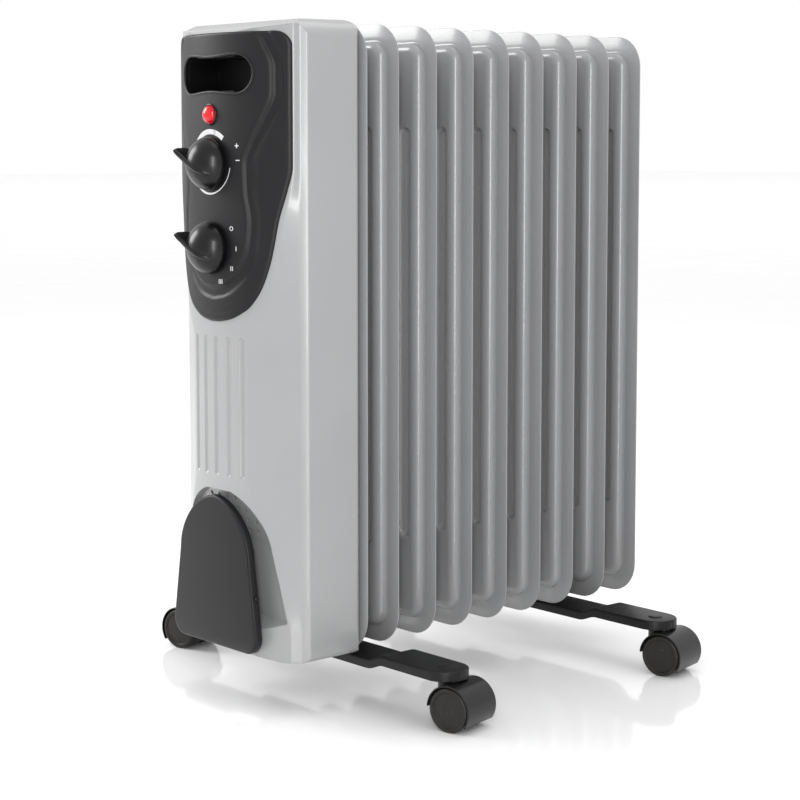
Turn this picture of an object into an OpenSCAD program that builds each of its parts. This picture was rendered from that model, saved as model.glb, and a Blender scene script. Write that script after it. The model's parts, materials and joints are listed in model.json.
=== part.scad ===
// Oil filled radiator heater: a row of pressed steel elements joined by two collectors, a control
// housing on the front element, two cross feet and four hooded twin-wheel casters.
// X runs across the heater, Y from the control panel to the last element, Z up.

/* [Elements] */
// Number of oil elements
element_count = 9; // [7:1:11]
// Distance between neighbouring elements
element_pitch = 47; // [42:1:57]
// Distance between the front element and the next one
front_pitch = 38; // [36:1:46]
// Width of an element
element_w = 186; // [155:1:224]
// Height of an element
element_h = 580; // [480:1:700]
// Radius of an element's corners
element_corner_r = 32; // [24:1:40]
// Width of the flat seam round an element
seam_w = 16; // [12:1:18]
// Thickness of the pressed sheet
sheet_t = 0.7; // [0.5:0.1:1]
// Thickness of an element across its oil channels
channel_t = 18; // [15:0.5:20]
// Bevel between the seam and the channel face
channel_bevel = 6; // [4:0.5:6.5]
// Number of welded slots between the oil channels
slot_count = 4; // [2:1:4]
// Width of a welded slot
slot_w = 20; // [14:1:22]
// Width of the oil channel outside the outermost slots
slot_land = 10; // [6:0.5:14]
// Distance from the element's ends to the slots
slot_end = 101; // [92:1:125]
// Distance from the element's ends to the collector centre lines
collector_inset = 55; // [48:1:58]
// Outer radius of a collector tube
collector_r = 24; // [20:0.5:26]
// Clear height below the elements
ground_clearance = 49; // [46:1:60]

/* [Control housing] */
// How far the housing's sides stay inside the elements' sides
housing_inset = 2; // [1:0.5:6]
// Depth from the front element's seam to the nose of the housing
housing_depth = 102.5; // [96:0.5:120]
// Wall of the housing
housing_wall = 2.2; // [1.8:0.1:2.6]
// Radius of the curved front seen from above
nose_r = 150; // [140:1:200]
// Depth of the side walls, behind the bevelled corner
side_wall_depth = 66; // [60:1:72]
// Width and depth of the bevelled corner
corner_bevel = 6; // [4:0.5:8]
// Half width of the raised front at its waist
waist_half_w = 41; // [36:1:46]
// Number of decorative grooves below the panel
groove_count = 5; // [3:1:5]
// Distance between grooves
groove_pitch = 17; // [14:0.5:17]
// Diameter of the vent holes
vent_d = 4; // [3:0.2:4.6]
// Distance between vent holes in a row
vent_pitch = 12; // [10:0.5:13]
// Distance between rows of vent holes
vent_row_pitch = 10; // [8:0.5:11]

/* [Control panel] */
// Thickness of the panel skin
panel_t = 2.5; // [2:0.1:3]
// Height of the raised middle of the panel above the skin
island_rise = 2; // [1:0.1:2.5]
// Distance from the side of the housing to the panel
panel_inset = 8; // [7:0.5:12]
// Distance from the top of the housing to the panel
panel_drop = 12; // [11:0.5:16]
// Length of the panel
panel_len = 260; // [252:1:270]
// Distance from the top of the housing to the thermostat dial
thermostat_drop = 129; // [125:1:134]
// Distance between the thermostat dial and the selector dial
dial_pitch = 76; // [66:1:80]
// Distance from the thermostat dial to the pilot light
pilot_rise = 44; // [42:1:47]
// Radius of the pilot light's lens
pilot_r = 9; // [6:0.5:9.5]
// Radius of a knob
knob_r = 24; // [22:0.5:28]
// Height of a knob above the panel
knob_h = 26; // [20:0.5:28]
// Radius of a knob's shaft
shaft_r = 3; // [2.5:0.1:3.5]
// Distance from the side of the panel to the hand grip opening
grip_inset = 32; // [28:1:38]
// Height of the hand grip opening
grip_h = 34; // [28:1:38]
// Distance from the top of the housing to the middle of the hand grip
grip_drop = 49; // [46:1:50]
// Depth of the hand grip pocket
grip_depth = 45; // [35:1:52]

/* [Cord winder] */
// Distance from the side of the housing to the winder plate
winder_inset = 27; // [24:1:36]
// Height of the winder plate
winder_h = 140; // [120:1:146]
// Thickness of the winder plate
winder_t = 3; // [2:0.5:4]
// Depth of the plate's turned-in edge
winder_lip = 8; // [5:0.5:10]
// Depth of the cord space behind the plate
cord_space = 25; // [18:0.5:27]
// Radius of the winder post
post_r = 17; // [12:0.5:20]
// Inner radius of the cord inlet
inlet_r = 3.9; // [3:0.1:5]

/* [Feet] */
// Distance from the middle to a caster stem
caster_x = 184; // [150:1:220]
// Width of a foot
foot_w = 42; // [38:1:46]
// Height of the foot's ends above the floor
foot_top_z = 53; // [51:1:62]
// Height of the foot's middle, under the elements
foot_mid_z = 47; // [45:1:48]
// Depth of the foot's side walls
foot_skirt = 9; // [6:0.5:9]
// Wall of a foot
foot_wall = 2.5; // [2:0.1:3]
// Radius of the U bolt's rod
u_bolt_r = 3; // [2.5:0.1:3.2]
// Place of the rear foot, counted in elements from the front one
rear_foot_gap = 6; // [4:1:6]

/* [Casters] */
// Radius of a caster wheel
wheel_r = 20; // [18:0.5:20]
// Width of one caster wheel
wheel_w = 20; // [15:0.5:22]
// Gap between wheel and hood
hood_gap = 1.2; // [0.8:0.1:1.6]
// Wall of the hood
hood_wall = 1.3; // [1:0.1:1.3]
// Distance from the stem to the axle
caster_trail = 17; // [14:0.5:20]
// Angle between the axle and the heater's length
caster_turn = 13; // [0:1:20]
// Radius of the caster axle
axle_r = 2.5; // [2:0.1:3]
// Radius of the caster stem
stem_r = 5; // [4:0.1:5.5]

/* [Hidden] */
CASTERS = ["front_left", "front_right", "rear_left", "rear_right"];

// Colours
enamel = [0.74, 0.74, 0.74];
charcoal = [0.2, 0.2, 0.21];
soot = [0.1, 0.1, 0.1];
steel = [0.7, 0.7, 0.72];
brass = [0.78, 0.63, 0.3];
cream = [0.9, 0.88, 0.8];

// Clearances
slip = 0.05;     // between a turning shaft and its bore
rest_gap = 0.3;  // between loose neighbours
hole_gap = 0.5;  // round a screw or a shaft that only passes through

// Where things stand along Y: the front element's seam is at 0 before the model is centred
half_t = channel_t / 2;
function element_y(i) = i == 0 ? 0 : front_pitch + (i - 1) * element_pitch;
last_y = element_y(element_count - 1) + half_t;
nose_y = -housing_depth;
panel_y = nose_y - panel_t;
island_y = panel_y - island_rise;
knob_front_y = island_y - knob_h;
centre_y = (last_y + knob_front_y) / 2;

// Elements and what sits in them
element_bottom = ground_clearance;
element_top = element_bottom + element_h;
lower_collector_z = element_bottom + collector_inset;
upper_collector_z = element_top - collector_inset;
channel_w = element_w - 2 * seam_w;
slot_pitch = (channel_w - 2 * slot_land - slot_w) / (slot_count - 1);
collector_wall = 1.4;
heater_plug_r = 17;
heater_rod_r = 4;
heater_bend_r = 8;
heater_inner_y = sheet_t + 3 - half_t;
heater_end_y = element_y(element_count - 2);
filler_r = 8;
oil_level_z = upper_collector_z - 20;

// Housing
housing_bottom = element_bottom + 2;
housing_top = element_top + 1;
housing_half_w = element_w / 2 - housing_inset;
housing_back_y = -5;
shoulder_r = 8;
side_front_y = -side_wall_depth;
facet_edge = [housing_half_w - corner_bevel, side_front_y - corner_bevel];
facet_half_w = housing_half_w - corner_bevel - 1;
front_steps = 6;

// Control panel
panel_half_w = housing_half_w - panel_inset;
panel_top_z = housing_top - panel_drop;
panel_bottom_z = panel_top_z - panel_len;
thermostat_z = housing_top - thermostat_drop;
selector_z = thermostat_z - dial_pitch;
pilot_z = thermostat_z + pilot_rise;
pilot_stem_r = pilot_r - 3;
shaft_hole_r = shaft_r + 1.5;
grip_z = housing_top - grip_drop;
grip_half_w = panel_half_w - grip_inset;
grip_wall = 2;
skin_gap = 0.02;

// Cord winder and the recess behind it
winder_half_w = housing_half_w - winder_inset;
winder_bottom_z = housing_bottom + 7;
winder_top_z = winder_bottom_z + winder_h;
winder_front_y = nose_y - 5;
winder_back_y = winder_front_y + winder_t;
recess_y = winder_back_y + cord_space;
recess_half_w = winder_half_w + 15;
recess_foot_z = winder_bottom_z + 16;
recess_side_z = recess_foot_z + 47;
recess_top_z = winder_top_z + 7;
post_z = (winder_bottom_z + winder_top_z) / 2 - 3;
post_rise = 10;
post_screw_dz = 9;

// Waist of the housing's front, between the recess and the panel
waist_low = recess_top_z + 16;
waist_top = panel_bottom_z - 19;
groove_r = 4;
groove_deep = 1.6;

// Parts behind the panel
frame_t = 1.5;
frame_y = -half_t - frame_t;
frame_half_w = channel_w / 2 - 7;
frame_side_w = 20;
housing_screw_x = frame_half_w - 18;
housing_screw_y = -30;
bracket_y = nose_y + 28;
bracket_t = 1.5;
bracket_half_w = 28;
bracket_tab_h = 14;
bracket_foot_x = frame_half_w - 10;
bracket_screw_x = frame_half_w - 16;
bracket_low_z = selector_z - 110;
bracket_high_z = thermostat_z + 30;
bracket_screw_zs = [bracket_low_z + bracket_tab_h / 2, bracket_high_z - bracket_tab_h / 2];
bushing_r = 5;
body_front_y = bracket_y + bracket_t;
thermostat_depth = 22;
selector_depth = 26;
shaft_end_y = body_front_y + 6;
shaft_front_y = knob_front_y + 12;
block_z = selector_z - 88;
cutout_z = lower_collector_z + 196;
inlet_x = housing_half_w - 43;
inlet_y = -62;
inlet_hole_r = inlet_r + 3;

// Knobs
pointer_deg = 152;
blade_t = 5;

// Screws
screw_r = 1.95;
screw_head_r = 3.8;
screw_hole_r = 2;
screw_head_h = 2.4;

// Feet and casters
front_foot_y = front_pitch / 2 - 5;
rear_foot_y = element_y(rear_foot_gap) + element_pitch / 2;
foot_ys = [front_foot_y, rear_foot_y];
foot_mid_half = element_w / 2 + 7;
foot_ramp = 22;
socket_r = stem_r + 3;
socket_bottom_z = foot_top_z - foot_wall - 5;
bolt_half_w = collector_r + u_bolt_r + rest_gap;
bolt_end_z = foot_mid_z - foot_skirt - 6;
wing_nut_h = 9;
hood_r = wheel_r + hood_gap + hood_wall;
web_t = 4;
wheel_gap = 0.5;
hood_half_w = web_t / 2 + wheel_gap + wheel_w;
neck_r = stem_r + 2;
neck_top_z = socket_bottom_z - rest_gap;
stem_top_z = foot_top_z - 1.2;
axle_half_len = web_t / 2 + wheel_gap + wheel_w * 0.75;

// ---------- shared shapes ----------

// Points on an arc from angle a to angle b
function arc(x, y, r, a, b, n = 8) =
    [for (i = [0 : n]) let (t = a + (b - a) * i / n) [x + r * cos(t), y + r * sin(t)]];

// A flat shape in X and Z, pushed along Y from y0 to y1
module along_y(y0, y1) {
    translate([0, y1, 0])
        rotate([90, 0, 0])
            linear_extrude(y1 - y0)
                children();
}

// A flat shape in Y and Z, pushed along X over width w
module along_x(w) {
    rotate([90, 0, 90])
        translate([0, 0, -w / 2])
            linear_extrude(w)
                children();
}

// A cylinder along Y from y0 to y1 at x and z
module rod_y(x, z, r, y0, y1, fn = 64) {
    translate([x, y1, z])
        rotate([90, 0, 0])
            cylinder(r = r, h = y1 - y0, $fn = fn);
}

// Flat rectangle with round corners, centred on X, from z0 to z1
module round_rect(w, z0, z1, r, fn = 48) {
    x = w / 2 - r;
    for (sx = [-1, 1], z = [z0 + r, z1 - r])
        translate([sx * x, z])
            circle(r = r, $fn = fn);
    translate([-w / 2, z0 + r])
        square([w, z1 - z0 - 2 * r]);
    translate([-x, z0])
        square([2 * x, z1 - z0]);
}

// Solid through a stack of rings that all have the same number of points
module loft(rings) {
    n = len(rings[0]);
    m = len(rings);
    sides = [for (k = [0 : m - 2], i = [0 : n - 1], t = [0, 1])
        let (a = k * n + i, b = k * n + (i + 1) % n)
        t == 0 ? [a, a + n, b] : [b, a + n, b + n]];
    first = [for (i = [0 : n - 1]) i];
    last = [for (i = [0 : n - 1]) m * n - 1 - i];
    polyhedron(points = [for (r = rings, p = r) p], faces = concat([first], sides, [last]), convexity = 6);
}

// Ring of points round a rectangle with round corners, half width x, from z0 to z1, at y
function rect_ring(x, z0, z1, r, y) =
    let (corners = [[x - r, z1 - r, 90], [x - r, z0 + r, 0], [r - x, z0 + r, -90], [r - x, z1 - r, 180]])
    [for (c = corners, p = arc(c[0], c[1], r, c[2], c[2] - 90, 6)) [p[0], y, p[1]]];

// ---------- oil elements ----------

// Bevelled slab of an element's oil space, smaller by d all round
module channel_slab(d) {
    w = channel_w - 2 * d;
    z0 = element_bottom + seam_w + d;
    z1 = element_top - seam_w - d;
    r = element_corner_r - seam_w / 2 - d;
    t = half_t - d;
    b = channel_bevel;
    sections = [[-t, b], [b - t, 0], [t - b, 0], [t, b]];
    loft([for (k = sections) rect_ring(w / 2 - k[1], z0 + k[1], z1 - k[1], r - k[1], k[0])]);
}

// Outlines of the welded slots, wider by d all round
module slot_outlines(d) {
    z0 = element_bottom + slot_end;
    z1 = element_top - slot_end;
    for (i = [0 : slot_count - 1]) {
        x = (i - (slot_count - 1) / 2) * slot_pitch;
        translate([x - slot_w / 2 - d, z0])
            square([slot_w + 2 * d, z1 - z0]);
        for (z = [z0, z1])
            translate([x, z])
                circle(d = slot_w + 2 * d, $fn = 48);
    }
}

// Oil space of one element, smaller by d all round
module oil_space(d) {
    difference() {
        channel_slab(d);
        along_y(-channel_t, channel_t)
            slot_outlines(d);
    }
}

// One element: two pressed sheets, seam welded, open towards its neighbours at the collectors
module element(i) {
    hole_r = collector_r - collector_wall;
    translate([0, element_y(i), 0])
        difference() {
            union() {
                along_y(-sheet_t, sheet_t)
                    round_rect(element_w, element_bottom, element_top, element_corner_r);
                difference() {
                    channel_slab(0);
                    for (s = [-1, 1])
                        translate([0, s * (sheet_t + half_t), 0])
                            along_y(-half_t, half_t)
                                slot_outlines(0);
                }
            }
            oil_space(sheet_t);
            for (z = [lower_collector_z, upper_collector_z]) {
                if (i < element_count - 1)
                    rod_y(0, z, hole_r, 0, channel_t);
                if (i > 0)
                    rod_y(0, z, hole_r, -channel_t, 0);
            }
            if (i == 0) {
                rod_y(0, lower_collector_z, heater_plug_r, -channel_t, 0);
                rod_y(0, upper_collector_z, filler_r, -channel_t, 0);
            }
        }
}

// Necks of one collector: a tube between each two elements, welded to both
module collector(z) {
    color(enamel)
        for (i = [0 : element_count - 2])
            difference() {
                rod_y(0, z, collector_r, element_y(i) + half_t, element_y(i + 1) - half_t);
                rod_y(0, z, collector_r - collector_wall, element_y(i), element_y(i + 1));
            }
}

module lower_collector() { collector(lower_collector_z); }
module upper_collector() { collector(upper_collector_z); }

// Heat transfer oil up to its level, with room above it to expand
module oil_fill() {
    color([0.75, 0.6, 0.25])
        difference() {
            union() {
                for (i = [0 : element_count - 1])
                    translate([0, element_y(i), 0])
                        oil_space(sheet_t + rest_gap);
                rod_y(0, lower_collector_z, collector_r - collector_wall - rest_gap, 0, last_y - half_t);
            }
            translate([-element_w, -channel_t, oil_level_z])
                cube([2 * element_w, last_y + 2 * channel_t, element_h]);
            heater_rods(rest_gap);
            rod_y(0, lower_collector_z, heater_plug_r + rest_gap, -channel_t, heater_inner_y + rest_gap);
        }
}

// The heater's U shaped rod, fatter by d
module heater_rods(d) {
    r = heater_rod_r + d;
    for (s = [-1, 1])
        rod_y(s * heater_bend_r, lower_collector_z, r, heater_inner_y - 1, heater_end_y);
    translate([0, heater_end_y, lower_collector_z])
        rotate_extrude(angle = 180, $fn = 64)
            translate([heater_bend_r, 0])
                circle(r = r, $fn = 32);
}

// Heating element: U rod, plug with hexagon, and two terminal pins
module heating_element() {
    color("silver")
        union() {
            heater_rods(0);
            rod_y(0, lower_collector_z, heater_plug_r, -half_t - 2, heater_inner_y);
            rod_y(0, lower_collector_z, heater_plug_r + 5, -half_t - 8, -half_t - 2, 6);
            for (s = [-1, 1])
                rod_y(s * heater_bend_r, lower_collector_z, 2, -half_t - 22, -half_t - 7);
        }
}

module heater_gasket() {
    color("firebrick")
        difference() {
            rod_y(0, lower_collector_z, heater_plug_r + 4, -half_t - 2, -half_t);
            rod_y(0, lower_collector_z, heater_plug_r, -half_t - 3, 1);
        }
}

module filler_plug() {
    color(brass)
        union() {
            rod_y(0, upper_collector_z, filler_r, -half_t - 1, -half_t + sheet_t + 2);
            rod_y(0, upper_collector_z, filler_r + 4, -half_t - 6, -half_t, 6);
        }
}

// ---------- control housing ----------

// Half width of the raised front at some heights: narrow at the waist, wide at the panel and the recess
front_stations = [
    [0, recess_half_w + 1], [recess_foot_z, recess_half_w], [recess_side_z, recess_half_w - 9],
    [recess_side_z + 41, recess_half_w - 20], [recess_top_z - 17, waist_half_w + 7],
    [waist_low, waist_half_w], [waist_top, waist_half_w],
    [panel_bottom_z + 4, facet_half_w - 30], [panel_bottom_z + 37, facet_half_w - 20],
    [panel_bottom_z + 94, facet_half_w - 9], [panel_bottom_z + 141, facet_half_w],
    [housing_top + 70, facet_half_w]
];

// How far the curved front falls back at distance x from the middle
function sag(x) = nose_r - sqrt(nose_r * nose_r - x * x);

// Outline of the housing from above, with half width w of the raised front, grown by d
function housing_outline(w, d) =
    let (
        x1 = facet_edge[0] + d * 0.7,
        right = concat(
            [for (k = [1 : front_steps]) let (x = w * k / front_steps) [x, nose_y + sag(x) - d]],
            [[x1, facet_edge[1] - d * 0.7], [housing_half_w + d, side_front_y - d * 0.4]],
            arc(housing_half_w - shoulder_r, housing_back_y - shoulder_r, shoulder_r + d, 0, 90, 4)
        ),
        n = len(right)
    )
    concat([[0, nose_y - d]], right, [for (i = [n - 1 : -1 : 0]) [-right[i][0], right[i][1]]]);

// Unbounded core of the housing, grown by d
module housing_core(d) {
    loft([for (s = front_stations) [for (p = housing_outline(s[1], d)) [p[0], p[1], s[0]]]]);
}

// Side view of the housing, grown by d
module housing_side(d) {
    z0 = housing_bottom - d;
    z1 = housing_top + d;
    y1 = housing_back_y + d;
    r = shoulder_r;
    polygon(concat(
        [[nose_y - 20, z0 + 24], [nose_y - d, z0 + 15], [nose_y + 8, z0 + 3], [nose_y + 18, z0]],
        arc(y1 - r, z0 + r, r, -90, 0, 4),
        arc(y1 - r, z1 - r, r, 0, 90, 4),
        [[side_front_y, z1 - 1], [nose_y + 30, z1 - 5], [nose_y + 8, z1 - 9]],
        [[nose_y - d, z1 - 13], [nose_y - 20, z1 - 30]]
    ));
}

// Front view of the housing, grown by d
module housing_front(d) {
    top_r = 24;
    low_r = 10;
    x = housing_half_w + d + 1;
    z0 = housing_bottom - d - 1;
    z1 = housing_top + d + 1;
    polygon(concat(
        arc(x - low_r, z0 + low_r, low_r, -90, 0, 4),
        arc(x - top_r, z1 - top_r, top_r, 0, 90, 8),
        arc(-x + top_r, z1 - top_r, top_r, 90, 180, 8),
        arc(-x + low_r, z0 + low_r, low_r, 180, 270, 4)
    ));
}

module housing_solid(d) {
    intersection() {
        housing_core(d);
        along_x(2 * element_w)
            housing_side(d);
        along_y(nose_y - 50, housing_back_y + 30)
            housing_front(d);
    }
}

// Everything the recess takes away, or with d its wall's inner face
module recess_solid(d) {
    w = recess_half_w + d;
    arch_r = recess_half_w - 15;
    intersection() {
        along_y(nose_y - 60, recess_y + d)
            polygon(concat(
                [[-w, recess_foot_z - d], [w, recess_foot_z - d], [w - 9, recess_side_z]],
                arc(0, recess_top_z - arch_r, arch_r + d, 15, 165, 12),
                [[9 - w, recess_side_z]]
            ));
        along_x(2 * element_w)
            polygon([
                [nose_y - 50, recess_foot_z - 20 - d], [nose_y, recess_foot_z - d],
                [recess_y + d, recess_foot_z + 14 - d], [recess_y + d, recess_top_z - 50 + d],
                [nose_y + 10 + d, recess_top_z - 3 + d], [nose_y - 50, recess_top_z + d]
            ]);
    }
}

// Vent holes in the slope above the winder, in rows that step outwards with the plate's edge
module vent_holes() {
    for (row = [0 : 3], k = [-4 : 4]) {
        z = recess_top_z - 10 - row * vent_row_pitch;
        if (abs(k) >= row - 1 && abs(k) <= [2, 3, 3, 4][row])
            rod_y(k * vent_pitch, z, vent_d / 2, nose_y - 20, recess_y + 20, 24);
    }
}

// Decorative grooves below the panel
module grooves() {
    groove_len = waist_top - waist_low + 4;
    for (i = [0 : groove_count - 1]) {
        x = (i - (groove_count - 1) / 2) * groove_pitch;
        translate([x, nose_y + sag(x) - groove_r + groove_deep, waist_low - 2]) {
            cylinder(r = groove_r, h = groove_len, $fn = 32);
            sphere(r = groove_r, $fn = 32);
            translate([0, 0, groove_len])
                sphere(r = groove_r, $fn = 32);
        }
    }
}

// Holes through panel and housing for the shafts, the pilot light and the grip pocket
module front_holes(grip_room) {
    for (z = [thermostat_z, selector_z])
        rod_y(0, z, shaft_hole_r, nose_y - 20, nose_y + 20);
    rod_y(0, pilot_z, pilot_stem_r + hole_gap / 2, nose_y - 20, nose_y + 20);
    along_y(nose_y - 20, nose_y + 30)
        grip_outline(grip_room);
}

// Bone shaped hand grip opening, grown by d
module grip_outline(d) {
    r = grip_h / 2;
    x = grip_half_w - r;
    for (s = [-1, 1])
        translate([s * x, grip_z])
            circle(r = r + d, $fn = 64);
    translate([-x, grip_z - r + 2 - d])
        square([2 * x, 2 * r - 4 + 2 * d]);
}

module control_housing() {
    hole_r = screw_hole_r + hole_gap / 2;
    color(enamel)
        difference() {
            housing_solid(0);
            difference() {
                union() {
                    housing_solid(-housing_wall);
                    along_y(housing_back_y - 20, housing_back_y + 5)
                        round_rect(channel_w + 6, element_bottom + seam_w - 3, element_top - seam_w + 3, 24);
                }
                recess_solid(housing_wall);
            }
            recess_solid(0);
            grooves();
            vent_holes();
            front_holes(grip_wall + hole_gap);
            for (s = [-1, 1])
                translate([s * housing_screw_x, housing_screw_y, 0])
                    cylinder(r = hole_r, h = housing_bottom + 10, $fn = 32);
            translate([inlet_x, inlet_y, 0])
                cylinder(r = inlet_hole_r, h = housing_bottom + 10, $fn = 64);
            for (s = [-1, 1])
                rod_y(0, post_z + s * post_screw_dz, hole_r, recess_y - 5, recess_y + 10, 32);
        }
}

// Pressed steel frame on the front element that the housing screws and hooks on to
// Plate behind the housing, with two tabs that bend up clear of the housing's rounded bottom edge
module mounting_frame() {
    tab_z = housing_bottom + housing_wall + 0.2;
    tab_y = housing_screw_y - 10;
    bend_y = housing_back_y - housing_wall - shoulder_r - 0.5;
    rise = -half_t - bend_y;
    color(steel)
        difference() {
            union() {
                along_y(frame_y, -half_t)
                    round_rect(2 * frame_half_w, element_bottom + seam_w + 8, element_top - seam_w - 8, 12);
                for (s = [-1, 1])
                    translate([s * housing_screw_x, 0, tab_z])
                        along_x(frame_side_w)
                            polygon([
                                [tab_y, 0], [bend_y, 0], [-half_t, rise], [-half_t, 30], [frame_y, 30],
                                [frame_y, rise + frame_t * 0.4], [bend_y - frame_t * 0.4, frame_t],
                                [tab_y, frame_t]
                            ]);
            }
            along_y(frame_y - 1, 0)
                round_rect(2 * (frame_half_w - frame_side_w), element_bottom + 150, element_top - 120, 20);
            rod_y(0, lower_collector_z, heater_plug_r + 7, frame_y - 1, 0);
            rod_y(0, upper_collector_z, filler_r + 6, frame_y - 1, 0);
            for (s = [-1, 1])
                translate([s * housing_screw_x, housing_screw_y, 0])
                    cylinder(r = screw_hole_r, h = housing_bottom + 20, $fn = 32);
        }
}

module housing_screws() {
    color(steel)
        for (s = [-1, 1])
            translate([s * housing_screw_x, housing_screw_y, housing_bottom - screw_head_h]) {
                cylinder(r = screw_head_r, h = screw_head_h, $fn = 32);
                cylinder(r = screw_r, h = 14, $fn = 32);
            }
}

// ---------- control panel ----------

// Lower side of the panel: distance in from its side, and up from its lowest point
panel_tail = [[11, 94], [18, 58], [26, 34], [39, 15], [58, 4]];
panel_corner_r = 14;

module panel_outline() {
    w = panel_half_w;
    right = concat(
        arc(w - panel_corner_r, panel_top_z - panel_corner_r, panel_corner_r, 90, 0, 6),
        [[w, panel_bottom_z + 141]],
        [for (p = panel_tail) [w - p[0], panel_bottom_z + p[1]]]
    );
    n = len(right);
    polygon(concat(right, [[0, panel_bottom_z]], [for (i = [n - 1 : -1 : 0]) [-right[i][0], right[i][1]]]));
}

// Side of the raised middle, an S: distance in from the panel's side, and up from the panel's lowest point
island_s = [
    [24, 250], [15, 227], [15, 207], [25, 182], [37, 160], [43, 142], [42, 117], [38, 92],
    [40, 70], [49, 49], [64, 36]
];

module island_outline() {
    right = [for (p = island_s) [panel_half_w - p[0], panel_bottom_z + p[1]]];
    n = len(right);
    left = [for (i = [n - 1 : -1 : 0]) [-right[i][0], right[i][1]]];
    polygon(concat(right, [[0, panel_bottom_z + 31]], left));
}

module control_panel() {
    color(charcoal)
        difference() {
            union() {
                intersection() {
                    housing_core(panel_t);
                    along_y(nose_y - 40, nose_y + 60)
                        panel_outline();
                }
                intersection() {
                    housing_core(panel_t + island_rise);
                    along_y(nose_y - 40, nose_y + 60)
                        island_outline();
                }
            }
            housing_core(skin_gap);
            front_holes(0);
        }
}

// Cup behind the hand grip opening
module grip_pocket() {
    y1 = nose_y + grip_depth;
    color(soot)
        difference() {
            intersection() {
                along_y(nose_y - 10, y1)
                    grip_outline(grip_wall);
                housing_core(-skin_gap);
            }
            along_y(nose_y - 20, y1 - grip_wall)
                grip_outline(0);
        }
}

// ---------- pilot light ----------

module pilot_lens() {
    color("red")
        intersection() {
            union() {
                rod_y(0, pilot_z, pilot_stem_r, island_y - 0.5, nose_y + 8);
                translate([0, island_y + 3, pilot_z])
                    sphere(r = pilot_r, $fn = 64);
            }
            union() {
                along_y(island_y - 20, island_y - skin_gap)
                    translate([-20, pilot_z - 20])
                        square(40);
                rod_y(0, pilot_z, pilot_stem_r, island_y - 1, nose_y + 8);
            }
        }
}

module pilot_lamp() {
    color("orange")
        union() {
            rod_y(0, pilot_z, 3, nose_y + 8.1, nose_y + 20);
            rod_y(0, pilot_z, 5, nose_y + 20, nose_y + 24);
        }
}

// ---------- thermostat, selector and their knobs ----------

// Body of a rotary control behind the bracket, with its bushing through it
module rotary_body(z, w, h, depth) {
    difference() {
        union() {
            translate([-w / 2, body_front_y, z - h / 2])
                cube([w, depth, h]);
            rod_y(0, z, bushing_r, bracket_y - 8, body_front_y + 1);
        }
        rod_y(0, z, shaft_r + slip, bracket_y - 9, shaft_end_y + 0.5);
    }
}

module thermostat() {
    color(cream)
        union() {
            rotary_body(thermostat_z, 40, 32, thermostat_depth);
            translate([-14, body_front_y + thermostat_depth, thermostat_z - 4])
                cube([28, 5, 8]);
        }
}

module selector_switch() {
    color(cream)
        union() {
            rotary_body(selector_z, 36, 36, selector_depth);
            for (x = [-12, -4, 4, 12])
                translate([x - 2, body_front_y + selector_depth, selector_z - 4])
                    cube([4, 7, 1]);
        }
}

// Plate that holds both controls and the terminal block inside the housing
module switch_bracket() {
    leg_x = bracket_half_w - 1;
    color(steel)
        difference() {
            union() {
                along_y(bracket_y, bracket_y + bracket_t)
                    round_rect(2 * bracket_half_w, bracket_low_z, bracket_high_z, 4);
                for (z = [bracket_low_z, bracket_high_z - bracket_tab_h], s = [-1, 1]) {
                    translate([s > 0 ? leg_x : -leg_x - bracket_t, bracket_y, z])
                        cube([bracket_t, frame_y - bracket_y - rest_gap, bracket_tab_h]);
                    translate([s > 0 ? leg_x : -bracket_foot_x, frame_y - bracket_t, z])
                        cube([bracket_foot_x - leg_x, bracket_t, bracket_tab_h]);
                }
            }
            for (z = [thermostat_z, selector_z])
                rod_y(0, z, bushing_r + slip, bracket_y - 1, bracket_y + 3);
            for (z = bracket_screw_zs, s = [-1, 1])
                rod_y(s * bracket_screw_x, z, screw_hole_r, frame_y - 5, frame_y + 1, 32);
        }
}

module bracket_screws() {
    head_y = frame_y - bracket_t;
    color(steel)
        for (z = bracket_screw_zs, s = [-1, 1]) {
            rod_y(s * bracket_screw_x, z, screw_head_r, head_y - screw_head_h, head_y, 32);
            rod_y(s * bracket_screw_x, z, screw_r, head_y - 1, frame_y, 32);
        }
}

// Domed knob with a tall curved blade, turned so that the blade's tip points to pointer_deg
module knob(z) {
    base_y = island_y - 1;
    skirt = 4;
    dome_h = 17;
    dome_r = (knob_r * knob_r + dome_h * dome_h) / (2 * dome_h);
    color(soot)
        difference() {
            translate([0, base_y, z])
                rotate([90, 0, 0])
                    union() {
                        cylinder(r = knob_r, h = skirt, $fn = 96);
                        intersection() {
                            translate([0, 0, skirt + dome_h - dome_r])
                                sphere(r = dome_r, $fn = 96);
                            translate([0, 0, skirt])
                                cylinder(r = knob_r, h = 30, $fn = 96);
                        }
                        rotate([0, 0, pointer_deg])
                            rotate([90, 0, 0])
                                translate([0, 0, -blade_t / 2])
                                    linear_extrude(blade_t)
                                        blade_outline();
                    }
            rod_y(0, z, shaft_r + 0.02, shaft_front_y - 0.5, island_y + 1);
        }
}

// Side view of the blade: high at the tip, running down over the dome
module blade_outline() {
    top = knob_h - 1;
    polygon([
        [knob_r - 1, 2], [knob_r + 1.5, top - 9], [knob_r + 2.5, top - 2], [knob_r + 0.5, top],
        [knob_r - 9, top - 2.5], [0, top - 3], [-knob_r * 0.6, top - 8], [-knob_r + 1, 6], [-knob_r + 1, 2]
    ]);
}

module control_shaft(z) {
    color(steel)
        rod_y(0, z, shaft_r, shaft_front_y, shaft_end_y);
}

module thermostat_knob() { knob(thermostat_z); }
module selector_knob() { knob(selector_z); }
module thermostat_shaft() { control_shaft(thermostat_z); }
module selector_shaft() { control_shaft(selector_z); }

// ---------- inner electrical parts ----------

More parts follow.
